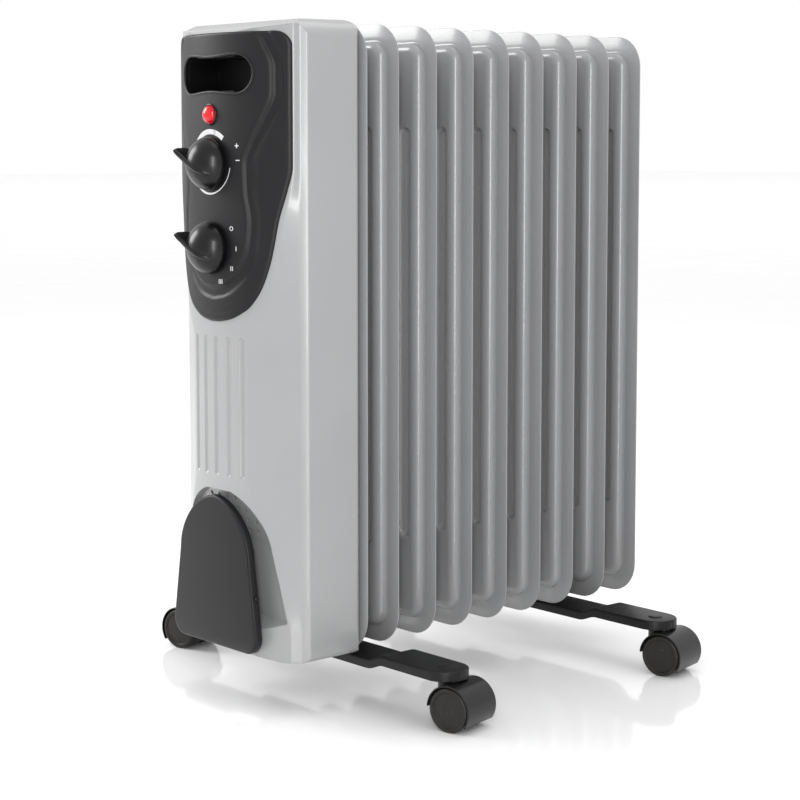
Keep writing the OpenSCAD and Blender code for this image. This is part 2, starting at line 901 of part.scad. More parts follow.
// Bimetal safety cut-out pressed against the front element
module thermal_cutout() {
    color(soot)
        union() {
            rod_y(0, cutout_z, 8, -half_t - 8, -half_t);
            for (s = [-1, 1])
                translate([s * 12 - 3, -half_t - 8, cutout_z - 1])
                    cube([6, 1, 2]);
            translate([-15, -half_t - 8.8, cutout_z - 5])
                cube([30, 2, 10]);
        }
}

module terminal_block() {
    color(cream)
        difference() {
            translate([-22, body_front_y, block_z - 10])
                cube([44, 16, 20]);
            for (x = [-14, 0, 14])
                translate([x, body_front_y + 8, block_z - 12])
                    cylinder(r = 2.4, h = 24, $fn = 32);
        }
}

// A wire along points, as a tube with eight sides
module wire(points) {
    wire_r = 1.3;
    n = len(points);
    function way(i) = let (v = points[min(n - 1, i + 1)] - points[max(0, i - 1)]) v / norm(v);
    function across(i) = let (v = cross(way(i), [0, 1, 0])) v / norm(v);
    loft([for (i = [0 : n - 1]) let (u = across(i), w = cross(way(i), u))
        [for (a = [0 : 45 : 315]) points[i] + wire_r * (cos(a) * u + sin(a) * w)]]);
}

module wiring_loom() {
    y = body_front_y + 8;
    lane = -half_t - 25;
    color("firebrick")
        union() {
            for (s = [-1, 1]) {
                up_z = s < 0 ? thermostat_z : selector_z;
                back = body_front_y + (s < 0 ? thermostat_depth + 2.5 : selector_depth + 4);
                wire([
                    [s * 14, y, block_z + 1], [s * 14, y, block_z + 16], [s * 24, y + 6, block_z + 32],
                    [s * 32, y + 12, block_z + 46], [s * 32, y + 12, up_z - 32], [s * 22, back, up_z - 20],
                    [s * 12, back, up_z - 5]
                ]);
                wire([
                    [s * 14, y, block_z - 1], [s * 14, y, block_z - 16], [s * 11, y + 4, block_z - 34],
                    [s * heater_bend_r, lane, block_z - 60], [s * heater_bend_r, lane, lower_collector_z]
                ]);
            }
        }
}

// Grommet in the housing floor where the supply cord comes in
module inlet_gland() {
    lip = 2;
    groove_h = housing_wall + 0.2;
    color(soot)
        translate([inlet_x, inlet_y, housing_bottom])
            difference() {
                union() {
                    translate([0, 0, -lip])
                        cylinder(r = inlet_hole_r + 2.5, h = lip, $fn = 64);
                    translate([0, 0, -lip])
                        cylinder(r = inlet_hole_r - 0.1, h = lip + groove_h, $fn = 64);
                    translate([0, 0, groove_h])
                        cylinder(r = inlet_hole_r + 1.5, h = 4, $fn = 64);
                }
                translate([0, 0, -lip - 1])
                    cylinder(r = inlet_r, h = lip + groove_h + 6, $fn = 64);
            }
}

// ---------- cord winder ----------

// The winder plate's outline: a shield, tapering to the top and flat at the bottom, smaller by d
module winder_outline(d) {
    w = winder_half_w - d;
    z0 = winder_bottom_z + d;
    z1 = winder_top_z - d;
    low_r = 16 - d;
    arch_w = w - 10;
    arch_h = 59 - d;
    side = concat(
        arc(w - low_r, z0 + low_r, low_r, -90, 0, 6),
        [[w - 5, z0 + 48]],
        [for (a = [0 : 7.5 : 82.5]) [arch_w * pow(cos(a), 1.2), z1 - arch_h + arch_h * sin(a)]],
        [[0, z1]]
    );
    n = len(side);
    polygon(concat(side, [for (i = [n - 2 : -1 : 0]) [-side[i][0], side[i][1]]]));
}

module winder_plate() {
    color(charcoal)
        difference() {
            along_y(winder_front_y, winder_front_y + winder_lip)
                winder_outline(0);
            along_y(winder_back_y, winder_front_y + winder_lip + 1)
                winder_outline(2);
        }
}

// Round-ended post between the housing and the plate, which the cord is wound on
module winder_post() {
    color(soot)
        difference() {
            along_y(winder_back_y, recess_y) {
                for (s = [-1, 1])
                    translate([0, post_z + s * post_rise])
                        circle(r = post_r, $fn = 64);
                translate([-post_r, post_z - post_rise])
                    square([2 * post_r, 2 * post_rise]);
            }
            for (s = [-1, 1])
                rod_y(0, post_z + s * post_screw_dz, screw_hole_r, recess_y - 14, recess_y + 1, 32);
        }
}

module winder_screws() {
    head_y = recess_y + housing_wall;
    color(steel)
        for (s = [-1, 1]) {
            rod_y(0, post_z + s * post_screw_dz, screw_r, recess_y - 12, head_y + 1, 32);
            rod_y(0, post_z + s * post_screw_dz, screw_head_r, head_y, head_y + screw_head_h, 32);
        }
}

// ---------- feet ----------

// Height of the foot's top at distance x from the middle
function foot_z(x) =
    let (k = min(1, max(0, (abs(x) - foot_mid_half) / foot_ramp)))
    foot_mid_z + (foot_top_z - foot_mid_z) * k * k * (3 - 2 * k);

// Places along half a foot where its section is given: the level middle, the ramp and the round end
function foot_stations(r) = concat(
    [0, foot_mid_half],
    [for (k = [1 : 4]) foot_mid_half + foot_ramp * k / 4],
    [for (a = [0 : 10 : 80]) caster_x + r * sin(a)]
);

// One section of a foot at x, r its half width, between the given drop and depth below its top
function foot_ring(x, r, drop, deep) =
    let (
        over = max(0, abs(x) - caster_x),
        h = sqrt(max(0.04, r * r - over * over)),
        z1 = foot_z(x) - drop,
        z0 = foot_z(x) - deep,
        edge = min(1.5, h / 3)
    )
    [[x, -h, z0], [x, h, z0], [x, h, z1 - edge], [x, h - edge, z1], [x, -h + edge, z1], [x, -h, z1 - edge]];

module foot_solid(r, drop, deep) {
    half = concat(foot_stations(r), [caster_x + r * 0.998]);
    n = len(half);
    xs = concat([for (i = [n - 1 : -1 : 1]) -half[i]], half);
    loft([for (x = xs) foot_ring(x, r, drop, deep)]);
}

module foot(y) {
    r = foot_w / 2;
    color(charcoal)
        translate([0, y, 0])
            difference() {
                union() {
                    difference() {
                        foot_solid(r, 0, foot_skirt);
                        foot_solid(r - foot_wall, foot_wall, foot_skirt + 5);
                    }
                    for (s = [-1, 1]) {
                        translate([s * caster_x, 0, socket_bottom_z])
                            cylinder(r = socket_r, h = foot_top_z - socket_bottom_z - 1, $fn = 48);
                        translate([s * caster_x, 0, foot_top_z - 1])
                            cylinder(r = 7, h = 2.2, $fn = 48);
                    }
                }
                for (s = [-1, 1]) {
                    translate([s * caster_x, 0, socket_bottom_z - 1])
                        cylinder(r = stem_r + slip, h = foot_top_z - socket_bottom_z + 0.2, $fn = 64);
                    translate([s * bolt_half_w, 0, 0])
                        cylinder(r = u_bolt_r + hole_gap, h = foot_top_z + 5, $fn = 48);
                }
            }
}

module front_foot() { foot(front_foot_y); }
module rear_foot() { foot(rear_foot_y); }

// U bolts over the lower collector, one to each foot
module foot_u_bolts() {
    color(steel)
        for (y = foot_ys) {
            translate([0, y, lower_collector_z])
                rotate([90, 0, 0])
                    rotate_extrude(angle = 180, $fn = 96)
                        translate([bolt_half_w, 0])
                            circle(r = u_bolt_r, $fn = 48);
            for (s = [-1, 1])
                translate([s * bolt_half_w, y, bolt_end_z])
                    cylinder(r = u_bolt_r, h = lower_collector_z - bolt_end_z, $fn = 48);
        }
}

// Wing nuts that pull the feet up
module foot_wing_nuts() {
    nut_z = foot_mid_z - foot_wall - wing_nut_h;
    color(steel)
        for (y = foot_ys, s = [-1, 1])
            translate([s * bolt_half_w, y, nut_z])
                difference() {
                    union() {
                        cylinder(r = 6, h = wing_nut_h, $fn = 48);
                        for (t = [-1, 1])
                            translate([t * 9 - 5, -1.2, -1])
                                cube([10, 2.4, 8]);
                    }
                    translate([0, 0, -3])
                        cylinder(r = u_bolt_r + 0.02, h = 15, $fn = 48);
                }
}

// ---------- casters ----------

function caster_side(i) = i % 2 == 0 ? -1 : 1;
function caster_y(i) = foot_ys[i < 2 ? 0 : 1];

// Puts a caster, drawn at its stem with its axle in +X, where it belongs
module at_caster(i) {
    translate([caster_side(i) * caster_x, caster_y(i), 0])
        rotate([0, 0, caster_turn + (caster_side(i) > 0 ? 0 : 180)])
            children();
}

// Hood over both wheels, with the web between them and the stem
module caster_hood(i) {
    color(soot)
        at_caster(i)
            difference() {
                union() {
                    translate([caster_trail, 0, wheel_r])
                        difference() {
                            rod_y(0, 0, hood_r, -hood_half_w, hood_half_w, 96);
                            rotate([0, 20, 0])
                                translate([-60, -50, -60 - 6])
                                    cube([120, 100, 60]);
                        }
                    translate([0, 0, wheel_r + 2])
                        cylinder(r = neck_r, h = neck_top_z - wheel_r - 2, $fn = 64);
                    translate([0, 0, wheel_r + 2])
                        cylinder(r = stem_r, h = stem_top_z - wheel_r - 2, $fn = 64);
                }
                translate([caster_trail, 0, wheel_r]) {
                    rod_y(0, 0, wheel_r + hood_gap, -hood_half_w - 1, -web_t / 2, 96);
                    rod_y(0, 0, wheel_r + hood_gap, web_t / 2, hood_half_w + 1, 96);
                    rod_y(0, 0, axle_r, -web_t, web_t);
                }
            }
}

module caster_axle(i) {
    color(steel)
        at_caster(i)
            translate([caster_trail, 0, wheel_r])
                rod_y(0, 0, axle_r, -axle_half_len, axle_half_len);
}

// One wheel: s is -1 for the one towards the front, 1 for the other
module caster_wheel(i, s) {
    y_in = web_t / 2 + wheel_gap;
    flip = caster_side(i) > 0 ? s : -s;
    color(charcoal)
        at_caster(i)
            translate([caster_trail, 0, wheel_r])
                mirror([0, flip > 0 ? 0 : 1, 0])
                    difference() {
                        union() {
                            rod_y(0, 0, wheel_r, y_in, y_in + wheel_w - 1, 96);
                            rod_y(0, 0, wheel_r - 1, y_in + wheel_w - 1.1, y_in + wheel_w, 96);
                        }
                        rod_y(0, 0, axle_r + slip, y_in - 1, axle_half_len + 0.3);
                        difference() {
                            rod_y(0, 0, wheel_r - 3.5, y_in - 1, y_in + wheel_w - 5, 96);
                            rod_y(0, 0, axle_r + 3, y_in - 2, y_in + wheel_w, 64);
                        }
                    }
}

// ---------- the model ----------

module placed() {
    translate([0, -centre_y, 0])
        children();
}

for (i = [0 : element_count - 1])
    placed() color(enamel) element(i);
placed() lower_collector();
placed() upper_collector();
placed() oil_fill();
placed() filler_plug();
placed() heating_element();
placed() heater_gasket();
placed() mounting_frame();
placed() control_housing();
placed() housing_screws();
placed() control_panel();
placed() grip_pocket();
placed() pilot_lens();
placed() pilot_lamp();
placed() thermostat();
placed() selector_switch();
placed() switch_bracket();
placed() bracket_screws();
placed() thermal_cutout();
placed() terminal_block();
placed() wiring_loom();
placed() inlet_gland();
placed() thermostat_knob();
placed() thermostat_shaft();
placed() selector_knob();
placed() selector_shaft();
placed() winder_post();
placed() winder_plate();
placed() winder_screws();
placed() front_foot();
placed() rear_foot();
placed() foot_u_bolts();
placed() foot_wing_nuts();
for (i = [0 : 3]) {
    placed() caster_hood(i);
    placed() caster_axle(i);
    placed() caster_wheel(i, -1);
    placed() caster_wheel(i, 1);
}
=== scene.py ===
"""Oil filled radiator heater: the finished pieces, their materials and the studio round them."""

import json
import math

import bmesh
import bpy
import numpy as np
from bpy.props import FloatProperty, FloatVectorProperty, IntProperty, PointerProperty
from mathutils import Euler, Matrix, Vector


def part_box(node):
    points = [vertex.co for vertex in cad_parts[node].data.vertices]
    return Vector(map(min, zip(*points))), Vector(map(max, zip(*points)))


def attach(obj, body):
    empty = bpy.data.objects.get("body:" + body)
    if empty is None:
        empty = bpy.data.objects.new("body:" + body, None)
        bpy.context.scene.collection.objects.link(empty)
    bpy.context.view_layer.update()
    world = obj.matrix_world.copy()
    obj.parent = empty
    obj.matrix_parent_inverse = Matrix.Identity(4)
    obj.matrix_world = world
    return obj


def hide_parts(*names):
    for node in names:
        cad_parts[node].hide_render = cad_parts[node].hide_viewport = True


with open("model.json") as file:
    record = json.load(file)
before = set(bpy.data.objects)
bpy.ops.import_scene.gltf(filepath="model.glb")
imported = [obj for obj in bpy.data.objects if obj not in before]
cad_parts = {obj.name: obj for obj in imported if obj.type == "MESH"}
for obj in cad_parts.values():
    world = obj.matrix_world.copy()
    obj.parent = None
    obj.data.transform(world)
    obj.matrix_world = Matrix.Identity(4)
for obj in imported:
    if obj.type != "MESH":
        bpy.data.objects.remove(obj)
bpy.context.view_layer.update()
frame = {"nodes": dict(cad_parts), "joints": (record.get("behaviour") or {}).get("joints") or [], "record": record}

bl_info = {
    "name": "Oil Radiator Heater",
    "version": (1, 0, 0),
    "blender": (4, 5, 0),
    "location": "View3D > Sidebar > Heater",
    "description": "Builds the pieces of an oil filled radiator heater round its frame",
    "category": "Add Mesh",
}

MM = 0.001
BODY = "heater"
CORNERS = ("front_left", "front_right", "rear_left", "rear_right")
JOINTS = {j["name"]: j for j in frame["joints"]}
ELEMENT_COUNT = sum(name.startswith("element_") for name in frame["nodes"])


# ---------- places read from the frame, in millimetres ----------


def box(node):
    """Lowest and highest corner of a CAD node in millimetres."""
    low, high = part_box(node)
    return Vector(low) / MM, Vector(high) / MM


def joint_place(name):
    """Point and unit axis of a joint, the point in millimetres."""
    joint = JOINTS[name]
    return Vector(joint["pos_m"]) / MM, Vector(joint["axis"]).normalized()


ELEMENT_LOW, ELEMENT_HIGH = box(f"element_{ELEMENT_COUNT}")
HALF_T = (ELEMENT_HIGH.y - ELEMENT_LOW.y) / 2
ELEMENT_YS = [box(f"element_{i + 1}")[0].y + HALF_T for i in range(ELEMENT_COUNT)]
HOUSING_LOW, HOUSING_HIGH = box("control_housing")
PANEL_LOW, PANEL_HIGH = box("control_panel")
PLATE_LOW, PLATE_HIGH = box("winder_plate")
HOUSING_HALF = HOUSING_HIGH.x
NOSE_Y = HOUSING_LOW.y
SIDE_FRONT_Y = ELEMENT_YS[0] - 66
SHOULDER_R = 8
CORNER_BEVEL = 6
EDGE_X = HOUSING_HALF - CORNER_BEVEL
EDGE_Y = SIDE_FRONT_Y - CORNER_BEVEL
FACET_HALF = EDGE_X - 1
NOSE_R = 150
WALL = 2.2
SKIN_GAP = 0.02
PANEL_HALF = PANEL_HIGH.x
PANEL_TOP = PANEL_HIGH.z
PANEL_FOOT = PANEL_LOW.z
ISLAND_Y = PANEL_LOW.y
PANEL_T = 2.5
PLATE_HALF = PLATE_HIGH.x
RECESS_HALF = PLATE_HALF + 15
RECESS_FOOT = PLATE_LOW.z + 16
RECESS_SIDE = RECESS_FOOT + 47
RECESS_TOP = PLATE_HIGH.z + 7
RECESS_Y = box("winder_post")[1].y
WAIST_HALF = 41
WAIST_LOW = RECESS_TOP + 16
WAIST_TOP = PANEL_FOOT - 19


# ---------- small shape maths ----------


def arc(x, y, r, start, end, steps):
    """Points on an arc, angles in degrees."""
    turns = [math.radians(start + (end - start) * i / steps) for i in range(steps + 1)]
    return [(x + r * math.cos(t), y + r * math.sin(t)) for t in turns]


def smooth(t):
    """Eases from 0 to 1."""
    t = min(1.0, max(0.0, t))
    return t * t * (3 - 2 * t)


def spread(start, end, steps):
    """Evenly spaced numbers from start to end, both included."""
    return [start + (end - start) * i / steps for i in range(steps + 1)]


def eased_curve(rows, at):
    """Smooth curve through (place, value) rows that doesn't overshoot them."""
    places = [r[0] for r in rows]
    values = [r[1] for r in rows]
    if at <= places[0]:
        return values[0]
    if at >= places[-1]:
        return values[-1]
    rises = [(values[i + 1] - values[i]) / (places[i + 1] - places[i]) for i in range(len(rows) - 1)]

    def slope(i):
        if i == 0:
            return rises[0]
        if i == len(rises):
            return rises[-1]
        a, b = rises[i - 1], rises[i]
        return 0 if a * b <= 0 else 2 * a * b / (a + b)

    k = max(i for i in range(len(rises)) if places[i] <= at)
    width = places[k + 1] - places[k]
    t = (at - places[k]) / width
    h00 = (1 + 2 * t) * (1 - t) ** 2
    h10 = t * (1 - t) ** 2
    h01 = t * t * (3 - 2 * t)
    h11 = t * t * (t - 1)
    return h00 * values[k] + h10 * width * slope(k) + h01 * values[k + 1] + h11 * width * slope(k + 1)


def mirrored(right):
    """A closed outline from its right half, which runs from one point on the middle line to the other."""
    return right + [(-x, y) for x, y in reversed(right) if abs(x) > 1e-9]


def fillet(points, radius, steps=3):
    """An open line with its inner corners rounded."""
    out = [points[0]]
    for before, here, after in zip(points, points[1:], points[2:]):
        a, p, b = Vector(before), Vector(here), Vector(after)
        reach = min(radius, (a - p).length / 2.2, (b - p).length / 2.2)
        start = p + (a - p).normalized() * reach
        end = p + (b - p).normalized() * reach
        for t in spread(0, 1, steps):
            out.append(tuple(start * (1 - t) ** 2 + p * 2 * t * (1 - t) + end * t * t))
    return out + [points[-1]]


# ---------- mesh making ----------


def finish_mesh(obj, angle=32):
    """Merges doubles, turns faces outwards and shades smooth but for sharp edges."""
    shape = bmesh.new()
    shape.from_mesh(obj.data)
    bmesh.ops.remove_doubles(shape, verts=shape.verts, dist=2e-6)
    bmesh.ops.dissolve_degenerate(shape, edges=shape.edges, dist=1e-6)
    bmesh.ops.recalc_face_normals(shape, faces=shape.faces)
    shape.to_mesh(obj.data)
    shape.free()
    obj.data.shade_smooth()
    obj.data.set_sharp_from_angle(angle=math.radians(angle))
    return obj


def solid(name, points, faces, angle=32):
    """An object from points in millimetres."""
    mesh = bpy.data.meshes.new(name)
    mesh.from_pydata([tuple(c * MM for c in p) for p in points], [], faces)
    obj = bpy.data.objects.new(name, mesh)
    bpy.context.scene.collection.objects.link(obj)
    return finish_mesh(obj, angle)


def skin(name, rings, angle=32):
    """A closed solid through a stack of rings with equal numbers of points."""
    count = len(rings[0])
    points = [p for ring in rings for p in ring]
    faces = [list(range(count)), list(range(len(points) - count, len(points)))]
    for k in range(len(rings) - 1):
        for i in range(count):
            j = (i + 1) % count
            faces.append([k * count + i, k * count + j, (k + 1) * count + j, (k + 1) * count + i])
    return solid(name, points, faces, angle)


def along_y(name, outline, y0, y1):
    """A flat outline in X and Z, pushed along Y."""
    return skin(name, [[(x, y, z) for x, z in outline] for y in (y0, y1)])


def along_x(name, outline, half):
    """A flat outline in Y and Z, pushed along X to both sides."""
    return skin(name, [[(x, y, z) for y, z in outline] for x in (-half, half)])


def lathe(name, profile, place, axis, steps=64, angle=32):
    """A closed profile of (radius, distance along the axis), turned round the axis through a place."""
    turn = Vector((0, 0, 1)).rotation_difference(Vector(axis)).to_matrix()
    place = Vector(place)
    rings = []
    for i in range(steps):
        t = 2 * math.pi * i / steps
        rings.append([place + turn @ Vector((r * math.cos(t), r * math.sin(t), h)) for r, h in profile])
    count = len(profile)
    faces = []
    for k in range(steps):
        for i in range(count):
            a, b = k * count + i, k * count + (i + 1) % count
            c, d = (k + 1) % steps * count + (i + 1) % count, (k + 1) % steps * count + i
            faces.append([a, b, c, d])
    return solid(name, [p for ring in rings for p in ring], faces, angle)


def rod(name, place, axis, radius, start, end, steps=48):
    """A cylinder along an axis."""
    return lathe(name, [(0, start), (radius, start), (radius, end), (0, end)], place, axis, steps)


def tube(name, path, radius, steps=10):
    """A closed round tube along a loop of points that face -Y."""
    count = len(path)
    points = [Vector(p) for p in path]
    rings = []
    for i, p in enumerate(points):
        way = (points[(i + 1) % count] - points[i - 1]).normalized()
        out = way.cross(Vector((0, 1, 0))).normalized()
        up = out.cross(way)
        turns = [2 * math.pi * k / steps for k in range(steps)]
        rings.append([p + radius * (out * math.cos(t) + up * math.sin(t)) for t in turns])
    faces = []
    for k in range(count):
        n = (k + 1) % count
        for i in range(steps):
            j = (i + 1) % steps
            faces.append([k * steps + i, k * steps + j, n * steps + j, n * steps + i])
    return solid(name, [p for ring in rings for p in ring], faces, 60)


def combine(target, *tools, operation="DIFFERENCE"):
    """Cuts, joins or intersects a solid with others, which are used up."""
    for tool in tools:
        modifier = target.modifiers.new("combine", "BOOLEAN")
        modifier.operation = operation
        modifier.solver = "MANIFOLD"
        modifier.object = tool
        settled(target)
        bpy.data.objects.remove(tool, do_unlink=True)
    if not target.data.polygons:
        raise RuntimeError(f"{target.name} came out empty")
    return finish_mesh(target)


def settled(obj):
    """Applies an object's modifiers to its mesh."""
    graph = bpy.context.evaluated_depsgraph_get()
    mesh = bpy.data.meshes.new_from_object(obj.evaluated_get(graph))
    obj.modifiers.clear()
    old = obj.data
    obj.data = mesh
    bpy.data.meshes.remove(old)
    return obj


def joined(name, parts):
    """One object from several."""
    shape = bmesh.new()
    for part in parts:
        shape.from_mesh(part.data)
        bpy.data.objects.remove(part, do_unlink=True)
    mesh = bpy.data.meshes.new(name)
    shape.to_mesh(mesh)
    shape.free()
    obj = bpy.data.objects.new(name, mesh)
    bpy.context.scene.collection.objects.link(obj)
    obj.data.shade_smooth()
    obj.data.set_sharp_from_angle(angle=math.radians(32))
    return obj


def softened(obj, width, segments=2, angle=40):
    """Rounds an object's sharp edges."""
    bevel = obj.modifiers.new("soft_edges", "BEVEL")
    bevel.width = width * MM
    bevel.segments = segments
    bevel.limit_method = "ANGLE"
    bevel.angle_limit = math.radians(angle)
    bevel.use_clamp_overlap = True
    return finish_mesh(settled(obj), 40)


def place_piece(obj, finish, body=BODY, stands_for=()):
    """Gives a piece its material and body, and hides the CAD nodes that it stands for."""
    obj.data.materials.clear()
    obj.data.materials.append(finish)
    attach(obj, body)
    if stands_for:
        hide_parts(*stands_for)
    return obj


# ---------- materials ----------


class Wire:
    """A value in a shader tree that takes Python's operators."""

    def __init__(self, recipe, socket):
        self.recipe = recipe
        self.socket = socket

    def maths(self, operation, first, second=None):
        inputs = {0: first} if second is None else {0: first, 1: second}
        return self.recipe.node("ShaderNodeMath", {"operation": operation}, inputs)

    def __add__(self, other):
        return self.maths("ADD", self, other)

    def __radd__(self, other):
        return self.maths("ADD", other, self)

    def __sub__(self, other):
        return self.maths("SUBTRACT", self, other)

    def __rsub__(self, other):
        return self.maths("SUBTRACT", other, self)

    def __mul__(self, other):
        return self.maths("MULTIPLY", self, other)

    def __rmul__(self, other):
        return self.maths("MULTIPLY", other, self)

    def __truediv__(self, other):
        return self.maths("DIVIDE", self, other)

    def __rtruediv__(self, other):
        return self.maths("DIVIDE", other, self)

    def __pow__(self, other):
        return self.maths("POWER", self, other)

    def sine(self):
        return self.maths("SINE", self)

    def ramp(self, low, high, start=0.0, end=1.0):
        """Eases from start to end while the value goes from low to high."""
        settings = {"interpolation_type": "SMOOTHSTEP"}
        inputs = {"Value": self, "From Min": low, "From Max": high, "To Min": start, "To Max": end}
        return self.recipe.node("ShaderNodeMapRange", settings, inputs)


class Recipe:
    """One material: a Principled shader and what feeds it."""

    def __init__(self, name, **constants):
        self.material = bpy.data.materials.new(name)
        self.material.use_nodes = True
        self.tree = self.material.node_tree
        self.shader = self.tree.nodes["Principled BSDF"]
        for socket, value in constants.items():
            self.shader.inputs[socket.replace("_", " ")].default_value = value
        self.where = self.node("ShaderNodeTexCoord", {}, {}, "Object")

    def node(self, kind, settings, inputs, output=0):
        """Adds a node, sets it up and links or sets its inputs."""
        made = self.tree.nodes.new(kind)
        for name, value in settings.items():
            setattr(made, name, value)
        for name, value in inputs.items():
            if isinstance(value, Wire):
                self.tree.links.new(value.socket, made.inputs[name])
            else:
                made.inputs[name].default_value = value
        return Wire(self, made.outputs[output])

    def noise(self, scale, detail=2.0, roughness=0.5):
        """Noise from 0 to 1 over the object, scale in features per metre."""
        inputs = {"Vector": self.where, "Scale": scale, "Detail": detail, "Roughness": roughness}
        return self.node("ShaderNodeTexNoise", {}, inputs, "Fac")

    def part(self, axis):
        """One coordinate of the place on the object, in metres."""
        return self.node("ShaderNodeSeparateXYZ", {}, {"Vector": self.where}, axis)

    def mix(self, amount, first, second):
        """Mixes two colours."""
        return self.node("ShaderNodeMix", {"data_type": "RGBA"}, {0: amount, 6: first, 7: second}, 2)

    def feed(self, socket, value):
        """Links a value to the shader."""
        self.tree.links.new(value.socket, self.shader.inputs[socket])

    def relief(self, height, strength, distance, edge=0.0):
        """Bumps the surface by a height, over edges softened by a radius in metres."""
        inputs = {"Height": height, "Strength": strength, "Distance": distance}
        if edge:
            inputs["Normal"] = self.node("ShaderNodeBevel", {"samples": 4}, {"Radius": edge})
        self.feed("Normal", self.node("ShaderNodeBump", {}, inputs, "Normal"))


def shade(colour, factor):
    """A colour made lighter or darker, with alpha."""
    return tuple(min(1.0, c * factor) for c in colour[:3]) + (1.0,)


def enamel(name, colour, roughness, peel, edge):
    """Stoved enamel with orange peel, slight flow marks and a little dust low down."""
    r = Recipe(name, Coat_Weight=0.35, Coat_Roughness=0.12, Specular_IOR_Level=0.5)
    flow = r.noise(7, 3)
    fine = r.noise(60, 2)
    base = r.mix(flow.ramp(0.3, 0.7), shade(colour, 0.965), shade(colour, 1.02))
    dust = r.part("Z").ramp(0.03, 0.16, 0.06, 0.0) * fine.ramp(0.35, 0.75)
    r.feed("Base Color", r.mix(dust, base, (0.36, 0.34, 0.31, 1)))
    r.feed("Roughness", fine * 0.07 + (roughness - 0.035) + dust * 0.6)
    r.relief(r.noise(peel, 2, 0.6), 0.05, 0.0002, edge)
    return r.material


def moulded(name, colour, roughness, grain, edge, coat=0.0, strength=0.25, gloss=0.26):
    """Moulded plastic: a spark-eroded grain, slight flow shading and rubbed highs."""
    r = Recipe(name, Coat_Weight=coat, Coat_Roughness=0.1, Specular_IOR_Level=gloss)
    flow = r.noise(16, 3)
    pores = r.noise(grain, 3, 0.62)
    base = r.mix(flow.ramp(0.3, 0.75), shade(colour, 0.86), shade(colour, 1.16))
    r.feed("Base Color", r.mix(pores.ramp(0.62, 0.8, 0, 0.25), base, shade(colour, 1.9)))
    r.feed("Roughness", pores * 0.12 + flow * 0.08 + (roughness - 0.10))
    r.relief(pores, strength, 0.00012, edge)
    return r.material


def zinc(name, colour, roughness):
    """Plated steel with spangle, fine draw lines and dull spots."""
    r = Recipe(name, Metallic=1.0, Specular_IOR_Level=0.5)
    cells = {"Vector": r.where, "Scale": 260.0}
    spangle = r.node("ShaderNodeTexVoronoi", {"feature": "F1"}, cells, "Distance")
    spots = r.noise(70, 4)
    r.feed("Base Color", r.mix(spots.ramp(0.4, 0.75), shade(colour, 1.0), shade(colour, 0.72)))
    r.feed("Roughness", spangle * 0.16 + spots * 0.18 + (roughness - 0.12))
    r.relief(r.noise(1400, 2), 0.15, 0.0001, 0.0004)
    return r.material


def brass():
    r = Recipe("brass_plug", Metallic=1.0)
    tarnish = r.noise(120, 4)
    r.feed("Base Color", r.mix(tarnish.ramp(0.45, 0.75), (0.72, 0.5, 0.19, 1), (0.36, 0.22, 0.08, 1)))
    r.feed("Roughness", tarnish * 0.25 + 0.18)
    r.relief(r.noise(1600, 2), 0.2, 0.0001, 0.0004)
    return r.material


def rubber(name, colour):
    r = Recipe(name, Specular_IOR_Level=0.3)
    bloom = r.noise(90, 4)
    r.feed("Base Color", r.mix(bloom.ramp(0.45, 0.8), shade(colour, 1.0), shade(colour, 1.5)))
    r.feed("Roughness", bloom * 0.2 + 0.6)
    r.relief(r.noise(2200, 3), 0.3, 0.0001, 0.0004)
    return r.material


def lens_red(colour):
    """Clear red lens that glows a little, with a fluted inside that shows as faint rings."""
    r = Recipe(
        "lens_red", Coat_Weight=0.5, Coat_Roughness=0.05, Emission_Strength=0.8, Specular_IOR_Level=0.25,
    )
    centre = Vector((0, 0, joint_place("thermostat_turn")[0].z + 44)) * MM
    up = r.part("Z") - centre.z
    side = r.part("X")
    away = ((up * up + side * side) ** 0.5) / 0.009
    rings = (away * 40).sine() * 0.5 + 0.5
    # Painted glow and painted shade: the base colour is lighter in the middle, as if lit by the lamp behind, and
    # darker towards the rim.
    r.feed("Base Color", r.mix(away.ramp(0.1, 1.0), shade(colour, 1.25), shade(colour, 0.55)))
    glow = r.mix(away.ramp(0.0, 0.9), (0.85, 0.002, 0.012, 1), (0.28, 0.0, 0.006, 1))
    r.feed("Emission Color", glow)
    r.feed("Roughness", rings * 0.06 + 0.12)
    return r.material


def lamp_glass():
    r = Recipe("lamp_glass", Transmission_Weight=0.7, Emission_Strength=1.5)
    depth = r.noise(300, 2)
    r.feed("Emission Color", r.mix(depth, (1.0, 0.30, 0.08, 1), (1.0, 0.5, 0.2, 1)))
    r.feed("Roughness", depth * 0.1 + 0.05)
    return r.material


def oil():
    r = Recipe("oil", Transmission_Weight=0.4, Coat_Weight=0.4)
    cloud = r.noise(25, 3)
    r.feed("Base Color", r.mix(cloud, (0.55, 0.34, 0.08, 1), (0.68, 0.47, 0.16, 1)))
    r.feed("Roughness", cloud * 0.1 + 0.1)
    return r.material


def print_white():
    """Pad-printed marks, thin in places."""
    r = Recipe("white_print")
    thin = r.noise(900, 3)
    r.feed("Base Color", r.mix(thin.ramp(0.55, 0.85, 0, 0.5), (0.58, 0.58, 0.59, 1), (0.3, 0.3, 0.3, 1)))
    r.feed("Roughness", thin * 0.15 + 0.35)
    return r.material


def wheel_plastic(colour):
    """Dark nylon with turning marks round each wheel's face and scuffs from rolling."""
    r = Recipe("wheel_plastic", Specular_IOR_Level=0.28)
    scuff = r.noise(180, 4, 0.65)
    base = r.mix(r.noise(30, 2).ramp(0.3, 0.7), shade(colour, 0.85), shade(colour, 1.2))
    r.feed("Base Color", r.mix(scuff.ramp(0.58, 0.8, 0, 0.45), base, (0.09, 0.08, 0.07, 1)))
    r.feed("Roughness", scuff * 0.22 + 0.30)
    r.relief(r.noise(1500, 3), 0.22, 0.0001, 0.0003)
    return r.material


